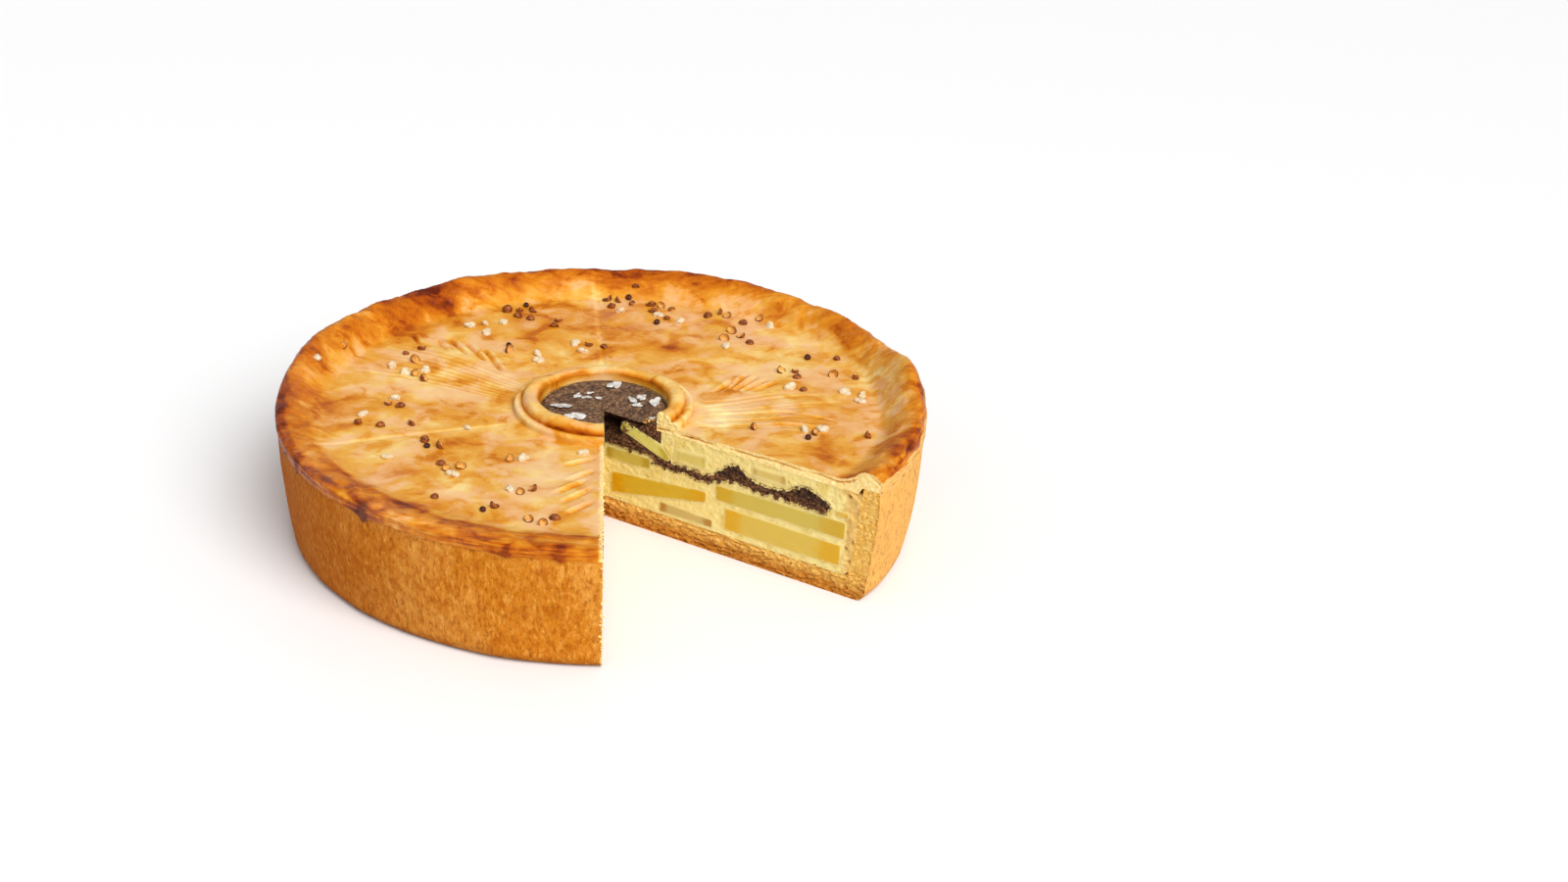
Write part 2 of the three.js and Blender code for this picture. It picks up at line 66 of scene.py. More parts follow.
# Steps that scatter a row of things evenly over a range.
FIRST_STEP = 0.618034
SECOND_STEP = 0.754878
SIZE_STEP = 0.445041
RADIUS_STEP = 0.569840
HEIGHT_STEP = 0.819173
GRAIN_STEP = 0.618

Array = np.ndarray
Material = bpy.types.Material
Mesh = bmesh.types.BMesh
Node = bpy.types.ShaderNode
Piece = bpy.types.Object
Socket = bpy.types.NodeSocket
Relief = Callable[[Array, Array], Array]
Ring = list[bmesh.types.BMVert]
Paint = Callable[[Array, Array, Array], dict[str, Array]]


def node_top(node: str) -> float:
    """Highest point of a CAD node, in millimetres."""
    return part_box(node)[1].z / MM


def node_reach(node: str) -> float:
    """Largest distance of a CAD node's box from the axis along X, in millimetres."""
    low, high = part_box(node)
    return max(-low.x, high.x) / MM


def ease(value: Array | float, start: float, end: float) -> Array:
    """Rises smoothly from 0 at start to 1 at end."""
    share = np.clip((np.asarray(value, float) - start) / (end - start), 0.0, 1.0)
    return share * share * (3.0 - 2.0 * share)


def bell(value: Array | float, centre: float, width: float) -> Array:
    """Bell of height 1 round a centre."""
    return np.exp(-(((np.asarray(value, float) - centre) / width) ** 2))


def turn_from(azimuth: Array, middle: float) -> Array:
    """Signed angle in radians from a middle azimuth in degrees, within half a turn."""
    return (azimuth - math.radians(middle) + math.pi) % (2.0 * math.pi) - math.pi


def scattered(number: int, step: float) -> float:
    """Share of 0 to 1 that a thing gets by its number in a scattered row."""
    return (number * step) % 1


def whole_turn(azimuth: float) -> float:
    """Azimuth moved into the turn that runs from the right cut to the left one."""
    return azimuth if azimuth > RIGHT_CUT else azimuth + 2 * math.pi


def stations(count: int) -> Array:
    """Azimuths from cut to cut, evenly spaced."""
    return np.linspace(RIGHT_CUT, LEFT_CUT, count)


def linear(colour: str) -> tuple[float, float, float, float]:
    """Turns a colour written as six hex digits into the linear values that shaders use.

    Args:
        colour: Six hex digits, as in "e0a040".

    Returns:
        Red, green, blue and alpha.
    """
    parts = [int(colour[k : k + 2], 16) / 255 for k in (0, 2, 4)]
    red, green, blue = (p / 12.92 if p <= 0.04045 else ((p + 0.055) / 1.055) ** 2.4 for p in parts)
    return red, green, blue, 1.0


@dataclass(frozen=True)
class Unevenness:
    """Smooth seeded noise that makes surfaces, outlines and colours uneven."""

    seed: int

    def _corner(self, cell: Sequence[Array], offset: Sequence[Array]) -> Array:
        """Slope of one lattice corner, taken along the way from that corner."""
        mask = 0xFFFFFFFF
        mixed = (cell[0] * 374761393 + cell[1] * 668265263 + cell[2] * 1440662683 + self.seed * 974711) & mask
        mixed = ((mixed ^ (mixed >> 13)) * 1274126177) & mask
        mixed = ((mixed ^ (mixed >> 16)) * 668265261) & mask
        slopes = [((mixed >> shift) & 1023) / 511.5 - 1.0 for shift in (2, 11, 20)]
        return sum(slope * step for slope, step in zip(slopes, offset))

    def at(self, x: Array, y: Array, z: Array | float = 0.0) -> Array:
        """Noise of about -1 to 1, with lumps one unit wide.

        Args:
            x: First coordinates, in lumps.
            y: Second coordinates.
            z: Third coordinates.

        Returns:
            One value for each point.
        """
        place = np.broadcast_arrays(np.asarray(x, float), np.asarray(y, float), np.asarray(z, float))
        cell = [np.floor(v).astype(np.int64) for v in place]
        inside = [v - c for v, c in zip(place, cell)]
        fade = [t * t * t * (t * (t * 6 - 15) + 10) for t in inside]
        total = np.zeros(place[0].shape)
        for corner in np.ndindex(2, 2, 2):
            weight = np.ones(place[0].shape)
            for axis, step in enumerate(corner):
                weight = weight * (fade[axis] if step else 1.0 - fade[axis])
            spot = [c + step for c, step in zip(cell, corner)]
            total += weight * self._corner(spot, [t - step for t, step in zip(inside, corner)])
        return total * 1.3

    def fractal(self, x: Array, y: Array, z: Array | float = 0.0, layers: int = 3,
                gain: float = 0.5) -> Array:
        """Sum of finer and fainter layers of the noise.

        Args:
            x: First coordinates, in the widest lumps.
            y: Second coordinates.
            z: Third coordinates.
            layers: How many layers are summed, each twice as fine as the last.
            gain: Strength of each layer against the one before.

        Returns:
            One value of about -1 to 1 for each point.
        """
        x, y, z = (np.asarray(v, float) for v in (x, y, z))
        layer = [gain**k * self.at(x * 2**k + 17 * k, y * 2**k, z * 2**k) for k in range(layers)]
        return sum(layer)


def add_object(name: str, data: bpy.types.ID) -> Piece:
    """Adds an object with its data to the scene."""
    made = bpy.data.objects.new(name, data)
    bpy.context.scene.collection.objects.link(made)
    return made


class Draft:
    """Vertices, faces and painted values of one piece, gathered before they become a mesh."""

    def __init__(self) -> None:
        """Starts with nothing."""
        self.points: list[Array] = []
        self.faces: list[list[int]] = []
        self.finish_numbers: list[int] = []
        self.paint: dict[str, list[tuple[int, Array]]] = {}
        self.count = 0

    def add_points(self, points: Array, paint: dict[str, Array]) -> int:
        """Adds points with painted values.

        Args:
            points: Places in millimetres, one row each.
            paint: Painted values by name, one for each point.

        Returns:
            Number of the first point.
        """
        first = self.count
        self.points.append(np.asarray(points, float).reshape(-1, 3))
        self.count += len(self.points[-1])
        for name, values in paint.items():
            self.paint.setdefault(name, []).append((first, np.asarray(values, np.float32).ravel()))
        return first

    def add_faces(self, faces: Sequence[Sequence[int]], finish_number: int) -> None:
        """Adds faces of one finish, without corners that fall together."""
        for face in faces:
            corners = [int(v) for k, v in enumerate(face) if v != face[k - 1]]
            if len(set(corners)) == len(corners) >= 3:
                self.faces.append(corners)
                self.finish_numbers.append(finish_number)

    def make(self, name: str, materials: Sequence[Material]) -> Piece:
        """Makes the piece.

        Args:
            name: Name of the piece.
            materials: Its finishes, in the order of the finish numbers.

        Returns:
            The new object, in metres.
        """
        mesh = bpy.data.meshes.new(name)
        mesh.from_pydata((np.concatenate(self.points) * MM).tolist(), [], self.faces)
        for painted, runs in self.paint.items():
            values = np.zeros(self.count, np.float32)
            for first, run in runs:
                values[first : first + len(run)] = run
            mesh.attributes.new(painted, "FLOAT", "POINT").data.foreach_set("value", values)
        for material in materials:
            mesh.materials.append(material)
        mesh.polygons.foreach_set("material_index", np.array(self.finish_numbers, np.int32))
        mesh.shade_smooth()
        mesh.set_sharp_from_angle(angle=math.radians(SHARP_EDGE))
        return add_object(name, mesh)


def place_piece(piece: Piece, nodes: Sequence[str]) -> None:
    """Sets a piece on the pie's body and the CAD nodes that it stands for."""
    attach(piece, BODY)
    if nodes:
        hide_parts(*nodes)
    stands_for = ", ".join(nodes) or "no node"
    log.info("%s: %d faces, stands for %s", piece.name, len(piece.data.polygons), stands_for)


def polar(radius: Array, azimuth: Array | float, height: Array) -> Array:
    """Points in space from radius, azimuth and height."""
    return np.stack([radius * np.cos(azimuth), radius * np.sin(azimuth), height + 0 * radius], axis=-1)


def densify(loop: Array, spacing: float) -> Array:
    """Adds points along the edges of a closed outline.

    Args:
        loop: Corner points of the outline.
        spacing: Largest distance between neighbours.

    Returns:
        The outline with its corners and the new points.
    """
    dense = []
    for here, there in zip(loop, np.roll(loop, -1, axis=0)):
        count = max(1, math.ceil(math.dist(here, there) / spacing))
        shares = np.arange(count)[:, None] / count
        dense.append(here + (there - here) * shares)
    return np.concatenate(dense)


def outward(loop: Array) -> Array:
    """Unit vectors that point out of a counterclockwise outline, one for each point."""
    along = np.roll(loop, -1, axis=0) - np.roll(loop, 1, axis=0)
    away = np.stack([along[:, 1], -along[:, 0]], axis=-1)
    return away / np.maximum(np.linalg.norm(away, axis=1, keepdims=True), 1e-9)


def round_corners(loop: Array, passes: int) -> Array:
    """Rounds an outline by cutting its corners again and again.

    Args:
        loop: Corner points of the outline.
        passes: How often the corners are cut.

    Returns:
        The rounded outline.
    """
    for _ in range(passes):
        after = np.roll(loop, -1, axis=0)
        loop = np.stack([0.75 * loop + 0.25 * after, 0.25 * loop + 0.75 * after], axis=1).reshape(-1, 2)
    return loop


def inside_loops(points: Array, loops: Sequence[Array]) -> Array:
    """Tells which points lie inside an outline and outside its holes.

    Args:
        points: Points to test.
        loops: The outline and its holes.

    Returns:
        True for each point that lies inside.
    """
    inside = np.zeros(len(points), bool)
    for loop in loops:
        for (r0, z0), (r1, z1) in zip(loop, np.roll(loop, -1, axis=0)):
            if z0 == z1:
                continue
            crosses = (z0 > points[:, 1]) != (z1 > points[:, 1])
            inside ^= crosses & (points[:, 0] < r0 + (points[:, 1] - z0) * (r1 - r0) / (z1 - z0))
    return inside


def nearest(points: Array, border: Array) -> Array:
    """Distance from each point to the nearest point of a border."""
    return np.array([np.min(np.hypot(*(border - p).T)) for p in points])


class Cut(Enum):
    """The two faces that the knife left."""

    RIGHT = (RIGHT_CUT, -1.0, 0.0, 1.0)
    LEFT = (LEFT_CUT, 1.0, 0.3, 0.4)

    def __init__(self, azimuth: float, side: float, depth: float, rough: float) -> None:
        """Keeps what sets the faces apart.

        Args:
            azimuth: Azimuth of the face.
            side: Side that is open, 1 for growing azimuths and -1 for falling ones.
            depth: How far the face lies back by the wall.
            rough: Share of the usual relief that it has.
        """
        self.azimuth = azimuth
        self.side = side
        self.depth = depth
        self.rough = rough

    @property
    def out(self) -> Array:
        """Unit vector out of the face."""
        return self.side * np.array([-math.sin(self.azimuth), math.cos(self.azimuth), 0.0])

    def back(self, radius: Array) -> Array:
        """How far the face lies back at radii, which is more towards the wall."""
        return self.depth * ease(radius, 40, 100)


@dataclass
class CutFace:
    """How a solid looks where the knife went through: its relief, its grid and its finish."""

    relief: Relief
    spacing: float
    finish_number: int
    sink: float = 0.0


@dataclass
class Sweep:
    """A solid swept round the axis from cut to cut."""

    azimuths: Array
    loops: Callable[[Array], list[Array]]
    cut_face: CutFace
    paint: Paint

    def add_to(self, draft: Draft) -> None:
        """Adds the swept surface and its two cut faces to a draft."""
        loops = self.loops(self.azimuths)
        rows = [self._add_side(draft, loop) for loop in loops]
        for cut, station in ((Cut.RIGHT, 0), (Cut.LEFT, -1)):
            sections = [loop[station] for loop in loops]
            self._add_cut(draft, cut, sections, [row[station] for row in rows])

    def _add_side(self, draft: Draft, loop: Array) -> Array:
        """Adds the surface that one loop of the section sweeps.

        Args:
            draft: Draft that receives it.
            loop: Radius and height of each point at each station.

        Returns:
            Point numbers by station and point.
        """
        radius, height = loop[..., 0], loop[..., 1]
        azimuth = np.broadcast_to(self.azimuths[:, None], radius.shape)
        points = polar(radius, azimuth, height)
        for cut, station in ((Cut.RIGHT, 0), (Cut.LEFT, -1)):
            off_axis = (radius[station] > 1e-6)[:, None]
            depth = self.cut_face.sink + cut.back(radius[station])[:, None]
            points[station] -= cut.out * depth * off_axis
        first = draft.add_points(points, self.paint(radius, azimuth, height))
        rows = first + np.arange(radius.size).reshape(radius.shape)
        rows[:, np.all(radius < 1e-6, axis=0)] = rows[0, np.all(radius < 1e-6, axis=0)]
        after = np.roll(rows, -1, axis=1)
        quads = np.stack([rows[:-1], rows[1:], after[1:], after[:-1]], axis=-1)
        draft.add_faces(quads.reshape(-1, 4), 0)
        return rows

    def _add_cut(self, draft: Draft, cut: Cut, sections: list[Array], rows: list[Array]) -> None:
        """Adds one cut face, with a fine grid of its own inside the outline.

        Args:
            draft: Draft that receives it.
            cut: Which of the two cuts it is.
            sections: Outline and holes at that cut.
            rows: Point numbers of those loops.
        """
        edge = np.concatenate(sections)
        grid = self._grid_inside(sections, edge)
        paths = []
        first = 0
        for section in sections:
            paths += [(first + k, first + (k + 1) % len(section)) for k in range(len(section))]
            first += len(section)
        flat = [Vector(p) for p in np.concatenate([edge, grid])]
        found, _, faces, origins, _, _ = delaunay_2d_cdt(flat, paths, [], 0, 1e-5)
        spots = np.array(found)
        r, z = spots[:, 0], spots[:, 1]
        relief = cut.rough * self.cut_face.relief(r, z) - self.cut_face.sink - cut.back(r)
        points = polar(r, cut.azimuth, z) + relief[:, None] * cut.out
        start = draft.add_points(points, self.paint(r, np.full(len(spots), cut.azimuth), z))
        numbers = start + np.arange(len(spots))
        joined = np.concatenate(rows)
        for k, sources in enumerate(origins):
            if sources and sources[0] < len(edge):
                numbers[k] = joined[sources[0]]
        corners = np.array(faces)
        corners = corners[inside_loops(spots[corners].mean(axis=1), sections)]
        triangles = numbers[corners]
        draft.add_faces(triangles if cut is Cut.RIGHT else triangles[:, ::-1], self.cut_face.finish_number)

    def _grid_inside(self, sections: list[Array], edge: Array) -> Array:
        """Points of a jittered grid inside a section, clear of its edge.

        Args:
            sections: Outline and holes of the section.
            edge: All their points.

        Returns:
            The points.
        """
        step = self.cut_face.spacing
        low, high = edge.min(axis=0), edge.max(axis=0)
        r, z = np.meshgrid(np.arange(low[0], high[0], step), np.arange(low[1], high[1], step * 0.87))
        r[1::2] += step / 2
        jitter = Unevenness(5)
        r = r + 0.3 * step * jitter.at(r / step + 0.3, z / step + 0.6)
        z = z + 0.3 * step * jitter.at(r / step + 7.3, z / step + 3.6)
        grid = np.stack([r.ravel(), z.ravel()], axis=-1)
        grid = grid[inside_loops(grid, sections)]
        return grid[nearest(grid, edge) > 0.55 * step]

    def place(self, name: str, finishes: Sequence[Material], slot: str, node: str) -> None:
        """Makes the solid a piece and sets it in place of a CAD node.

        Args:
            name: Name of the piece.
            finishes: Its finishes, first that of its sides.
            slot: Not used.
            node: CAD node that it stands for.
        """
        draft = Draft()
        self.add_to(draft)
        place_piece(draft.make(name, finishes), [node])


class Graph:
    """Node graph of one finish, with short calls for the few kinds of node that the pie needs."""

    def __init__(self, name: str) -> None:
        """Starts a finish with a shader and an output."""
        self.material = bpy.data.materials.new(name)
        self.material.use_nodes = True
        self.tree = self.material.node_tree
        self.tree.nodes.clear()
        self.shader = self._node("BsdfPrincipled")
        self._node("OutputMaterial", Surface=self.shader.outputs[0])

    def _node(self, kind: str, **inputs: object) -> Node:
        """Adds a node and feeds its inputs, named with _ for spaces."""
        node = self.tree.nodes.new(f"ShaderNode{kind}")
        self._feed_named(node, inputs)
        return node

    def _feed_named(self, node: Node, inputs: dict[str, object]) -> None:
        """Feeds inputs of a node, named with _ for spaces."""
        for name, value in inputs.items():
            self.feed(node.inputs[name.replace("_", " ")], value)

    def feed(self, socket: Socket, value: object) -> None:
        """Links a socket to another, or sets its value."""
        if isinstance(value, Socket):
            self.tree.links.new(value, socket)
        else:
            socket.default_value = value

    def set(self, **values: object) -> None:
        """Feeds the shader's inputs, named with _ for spaces."""
        self._feed_named(self.shader, values)

    def painted(self, name: str) -> Socket:
        """Value painted on the mesh under a name."""
        node = self._node("Attribute")
        node.attribute_name = name
        return node.outputs["Fac"]

    def place(self, stretch: tuple[float, float, float] = (1.0, 1.0, 1.0)) -> Socket:
        """Place on the object, stretched along its axes."""
        source = self._node("TexCoord").outputs["Object"]
        return self._node("Mapping", Vector=source, Scale=[1.0 / s for s in stretch]).outputs[0]

    def round_place(self, stretch: tuple[float, float, float] = (1.0, 1.0, 1.0)) -> Socket:
        """Place as way round at the rim, radius and height, each stretched."""
        join = self._node("CombineXYZ")
        for k, name in enumerate(("way_round", "radius", "height")):
            self.feed(join.inputs[k], self.times(self.painted(name), 1.0 / stretch[k]))
        return join.outputs[0]

    def noise(self, place: Socket, lump: float, detail: float = 4.0, rough: float = 0.55,
              swirl: float = 0.0) -> Socket:
        """Noise with lumps of a width in millimetres.

        Args:
            place: Where it is read.
            lump: Width of its lumps in millimetres.
            detail: Number of finer layers.
            rough: Strength of the finer layers.
            swirl: How far it is distorted.

        Returns:
            Value of 0 to 1.
        """
        scale = 1.0 / (lump * MM)
        layers = {"Detail": detail, "Roughness": rough, "Distortion": swirl}
        return self._node("TexNoise", Vector=place, Scale=scale, **layers).outputs[0]

    def cells(self, place: Socket, lump: float) -> Socket:
        """Distance to the nearest of scattered points, a lump apart in millimetres."""
        return self._node("TexVoronoi", Vector=place, Scale=1.0 / (lump * MM)).outputs["Distance"]

    def _reckon(self, operation: str, first: object, second: object) -> Socket:
        """Arithmetic on two values, named as the math node names it."""
        node = self._node("Math")
        node.operation = operation
        self.feed(node.inputs[0], first)
        self.feed(node.inputs[1], second)
        return node.outputs[0]

    def times(self, first: object, second: object) -> Socket:
        """Product of two values."""
        return self._reckon("MULTIPLY", first, second)

    def plus(self, first: object, second: object) -> Socket:
        """Sum of two values."""
        return self._reckon("ADD", first, second)

    def between(self, value: object, low: float, high: float) -> Socket:
        """Share of 0 to 1 that a value has covered between two limits, eased at both."""
        node = self._node("MapRange", Value=value, From_Min=low, From_Max=high)
        node.interpolation_type = "SMOOTHSTEP"
        return node.outputs[0]

    def share(self, value: object, low: float, high: float, most: float) -> Socket:
        """Share that a value has covered between two limits, out of a largest share."""
        return self.times(self.between(value, low, high), most)

    def blend(self, share: object, first: object, second: object) -> Socket:
        """Blends two colours.

        Args:
            share: How much of the second.
            first: First colour, as hex digits or a socket.
            second: Second colour.

        Returns:
            The blended colour.
        """
        node = self._node("Mix")
        node.data_type = "RGBA"
        self.feed(node.inputs[0], share)
        self.feed(node.inputs[6], linear(first) if isinstance(first, str) else first)
        self.feed(node.inputs[7], linear(second) if isinstance(second, str) else second)
        return node.outputs[2]

    def ramp(self, value: object, steps: Sequence[tuple[float, str]]) -> Socket:
        """Colour that a value of 0 to 1 picks from a row of steps, each a value and a colour."""
        node = self._node("ValToRGB")
        self.feed(node.inputs[0], value)
        stops = node.color_ramp.elements
        stops.remove(stops[1])
        stops[0].position = steps[0][0]
        stops[0].color = linear(steps[0][1])
        for position, colour in steps[1:]:
            stops.new(position).color = linear(colour)
        return node.outputs[0]

    def around_zero(self, noise: Socket, strength: float) -> Socket:
        """Noise moved to lie about zero and scaled."""
        return self.times(self._reckon("SUBTRACT", noise, 0.5), strength)

    def relief(self, height: Socket, depth: float, under: Socket | None = None) -> Socket:
        """Fine relief of a depth in millimetres.

        Args:
            height: Value of 0 to 1.
            depth: What 1 stands for, in millimetres.
            under: Coarser relief that it lies on.

        Returns:
            The bent normal.
        """
        node = self._node("Bump", Distance=depth * MM, Height=height)
        if under is not None:
            self.feed(node.inputs["Normal"], under)
        return node.outputs[0]


def way_paint(radius: Array, azimuth: Array, height: Array) -> dict[str, Array]:
    """Painted coordinates that let a finish follow the round, in metres."""
    rim = node_reach("pastry_lid")
    return {
        "way_round": azimuth * rim * MM + 0 * radius,
        "radius": radius * MM,
        "height": height * MM + 0 * radius,
    }


@dataclass(frozen=True)
class CrustFinish:
    """Dry baked pastry of the wall: fine sandy speckles, with painted shade on the left side and painted
    light on the right.
    """

    light: str = "eeb35a"
    middle: str = "c4761a"
    dark: str = "662a02"
    deep: str = "a65206"
    pale: str = "e8ad5c"

    def make(self) -> Material:
        """Makes the finish."""
        graph = Graph("wall crust")
        sand = graph.noise(graph.round_place((1.0, 1.0, 2.4)), 1.1, 3.0, 0.7)
        speckle = graph.noise(graph.round_place((1.0, 1.0, 1.5)), 3.4, 4.0, 0.65)
        cloud = graph.noise(graph.round_place((1.0, 1.0, 1.4)), 26.0, 3.0, 0.55)
        # Painted light: side_light shades the wall towards the left and pales it towards the right, as the
        # key light falls; the speckles follow it.
        side_light = graph.painted("side_light")
        base = graph.blend(graph.share(cloud, 0.4, 0.65, 0.3), self.middle, self.light)
        # Painted shade with the deep colour on the left, painted light with the pale colour on the right.
        base = graph.blend(graph.share(side_light, 0.5, 0.0, 0.8), base, self.deep)
        base = graph.blend(graph.between(side_light, 0.5, 1.0), base, self.pale)
        base = graph.blend(graph.share(sand, 0.48, 0.34, 0.5), base, self.dark)
        grit = graph.times(graph.between(sand, 0.53, 0.7), graph.between(side_light, -0.4, 0.5))
        base = graph.blend(graph.times(grit, 0.45), base, self.light)
        dots = graph.times(graph.between(speckle, 0.5, 0.64), graph.between(side_light, 1.2, 0.5))
        base = graph.blend(graph.times(dots, 0.6), base, self.deep)
        lit = graph.times(graph.between(speckle, 0.46, 0.3), graph.between(side_light, 0.05, 0.5))
        base = graph.blend(graph.times(lit, 0.4), base, self.light)
        foot = graph.between(graph.painted("height"), 6 * MM, 0.0)
        base = graph.blend(graph.times(foot, 0.4), base, self.dark)
        graph.set(Base_Color=base, Roughness=0.8, Specular_IOR_Level=0.06)
        graph.set(Normal=graph.relief(sand, 0.35, graph.relief(speckle, 0.5)))
        return graph.material


@dataclass(frozen=True)
class CrumbFinish:
    """Cut pastry: golden crumb, browner towards the base, with dark layers and small pits darkened by painted
    shade.
    """

    name: str
    pale: str
    golden: str
    brown: str
    dark: str
    depth: float

    def make(self) -> Material:
        """Makes the finish."""
        graph = Graph(self.name)
        layers = graph.noise(graph.round_place((1.0, 5.0, 1.0)), 1.7, 5.0, 0.65, 0.4)
        crumb = graph.noise(graph.place(), 1.2, 4.0, 0.65)
        pits = graph.cells(graph.place((1.0, 1.0, 0.7)), 1.7)
        baked = graph.painted("baked")
        base = graph.blend(graph.between(crumb, 0.36, 0.62), self.golden, self.pale)
        base = graph.blend(baked, base, self.brown)
        base = graph.blend(graph.share(crumb, 0.54, 0.68, 0.4), base, self.pale)
        share = graph.plus(graph.times(baked, 0.8), 0.08)
        base = graph.blend(graph.times(graph.between(layers, 0.54, 0.64), share), base, self.dark)
        # Painted shade: the pits are darkened, more so towards the base.
        pit_shade = graph.times(graph.between(pits, 0.22, 0.0), graph.plus(graph.times(baked, 0.5), 0.15))
        base = graph.blend(pit_shade, base, self.dark)
        graph.set(Base_Color=base, Roughness=0.8, Specular_IOR_Level=0.08)
        graph.set(Normal=graph.relief(crumb, self.depth, graph.relief(pits, self.depth)))
        return graph.material


@dataclass(frozen=True)
class GlazeFinish:
    """Egg-glazed pastry: its painted baking, mottled by noise, picks a colour from pale to burnt, with
    pinkish painted sheen.
    """

    name: str
    steps: tuple[tuple[float, str], ...] = (
        (0.0, "f0da9c"), (0.16, "e8c276"), (0.32, "dda142"), (0.48, "d28720"), (0.64, "bc650c"),
        (0.82, "943e06"), (1.0, "5c1c08"),
    )
    # Pinkish colour of painted sheen on the glaze.
    painted_sheen: str = "e6b48c"
    bare: str = "e2ae62"
    layer: str = "ac6418"

    def make(self) -> Material:
        """Makes the finish."""
        graph = Graph(self.name)
        clouds = graph.noise(graph.place(), 26.0, 4.0, 0.5, 0.6)
        spots = graph.noise(graph.place((1.1, 1.0, 1.0)), 11.0, 5.0, 0.5, 0.8)
        streaks = graph.noise(graph.place((1.2, 1.0, 1.0)), 3.4, 4.0, 0.55, 0.8)
        fine = graph.noise(graph.place(), 0.8, 3.0, 0.6, 0.5)
        sheen_noise = graph.noise(graph.place(), 15.0, 4.0, 0.55, 0.8)
        bake = graph.painted("bake")
        for noise, strength in ((clouds, 0.7), (spots, 0.65), (streaks, 0.2), (fine, 0.12)):
            bake = graph.plus(bake, graph.around_zero(noise, strength))
        pools = graph.between(graph.plus(spots, graph.around_zero(streaks, 0.2)), 0.54, 0.64)
        bake = graph.plus(bake, graph.times(pools, 0.08))
        base = graph.ramp(bake, self.steps)
        # Painted sheen: pinkish patches stand in for the glaze's reflection of the light.
        sheen_share = graph.times(graph.between(sheen_noise, 0.46, 0.58), graph.between(bake, 0.55, 0.3))
        base = graph.blend(graph.times(sheen_share, 0.5), base, self.painted_sheen)
        sheen_patch = graph.times(graph.painted("sheen_patch"), graph.between(sheen_noise, 0.38, 0.56))
        base = graph.blend(graph.times(sheen_patch, 0.45), base, self.painted_sheen)
        bare = graph.between(graph.plus(graph.painted("bare"), graph.around_zero(streaks, 0.5)), 0.3, 0.6)
        layers = graph.noise(graph.round_place((9.0, 1.0, 1.0)), 0.8, 3.0, 0.6, 0.5)
        dough = graph.blend(graph.share(layers, 0.5, 0.62, 0.8), self.bare, self.layer)
        base = graph.blend(bare, base, dough)
        graph.set(Base_Color=base, Specular_IOR_Level=0.08, Coat_Weight=0.02, Coat_Roughness=0.1)
        shine = graph.plus(graph.times(fine, 0.3), 0.16)
        graph.set(Roughness=graph.plus(shine, graph.times(bare, 0.4)))
        graph.set(Normal=graph.relief(fine, 0.05, graph.relief(streaks, 0.08)))
        return graph.material


@dataclass(frozen=True)
class CreamFinish:
    """Soft set cream, pale yellow and moist."""

    pale: str = "edd88e"
    deep: str = "e0c46a"
    crusty: str = "dca958"
    hole_shade: str = "96681e"
    stained: str = "7e5228"

    def make(self) -> Material:
        """Makes the finish."""
        graph = Graph("cream")
        cloud = graph.noise(graph.place(), 6.0, 4.0, 0.6)
        curd = graph.noise(graph.place(), 1.4, 3.0, 0.55)
        base = graph.blend(graph.between(cloud, 0.45, 0.75), self.pale, self.deep)
        base = graph.blend(graph.share(curd, 0.55, 0.8, 0.4), base, self.deep)
        by_wall = graph.plus(graph.painted("by_wall"), graph.around_zero(curd, 0.8))
        base = graph.blend(graph.share(by_wall, 0.3, 1.1, 0.8), base, self.crusty)
        # Painted shade in the holes of the cream.
        base = graph.blend(graph.times(graph.painted("hole"), 0.85), base, self.hole_shade)
        stain = graph.plus(graph.painted("stain"), graph.around_zero(curd, 1.4))
        base = graph.blend(graph.share(stain, 0.45, 1.0, 0.8), base, self.stained)
        graph.set(Base_Color=base, Roughness=0.45, Specular_IOR_Level=0.3)
        graph.set(Subsurface_Weight=0.2, Subsurface_Radius=(1.0, 0.8, 0.4), Subsurface_Scale=0.002)
        graph.set(Normal=graph.relief(curd, 0.5))
        return graph.material


@dataclass(frozen=True)
class PotatoFinish:
    """Cooked potato: yellow, moist, deeper in colour at its ends and creamy along its edges."""

    name: str
    pale: str
    deep: str
    soft: str = "eedb98"

    def make(self) -> Material:
        """Makes the finish."""
        graph = Graph(self.name)
        cloud = graph.noise(graph.place((1.0, 1.0, 0.5)), 9.0, 3.0, 0.55)
        grain = graph.noise(graph.place(), 0.9, 2.0, 0.5)
        ends = graph.plus(graph.painted("end"), graph.around_zero(cloud, 1.1))
        base = graph.blend(graph.between(ends, 0.1, 0.9), self.pale, self.deep)
        soft = graph.plus(graph.painted("edge"), graph.around_zero(cloud, 0.5))
        base = graph.blend(graph.share(soft, 0.1, 1.0, 0.8), base, self.soft)
        graph.set(Base_Color=base, Roughness=0.32, Specular_IOR_Level=0.35)
        graph.set(Subsurface_Weight=0.2, Subsurface_Radius=(1.0, 0.8, 0.3), Subsurface_Scale=0.002)
        graph.set(Normal=graph.relief(grain, 0.12))
        return graph.material


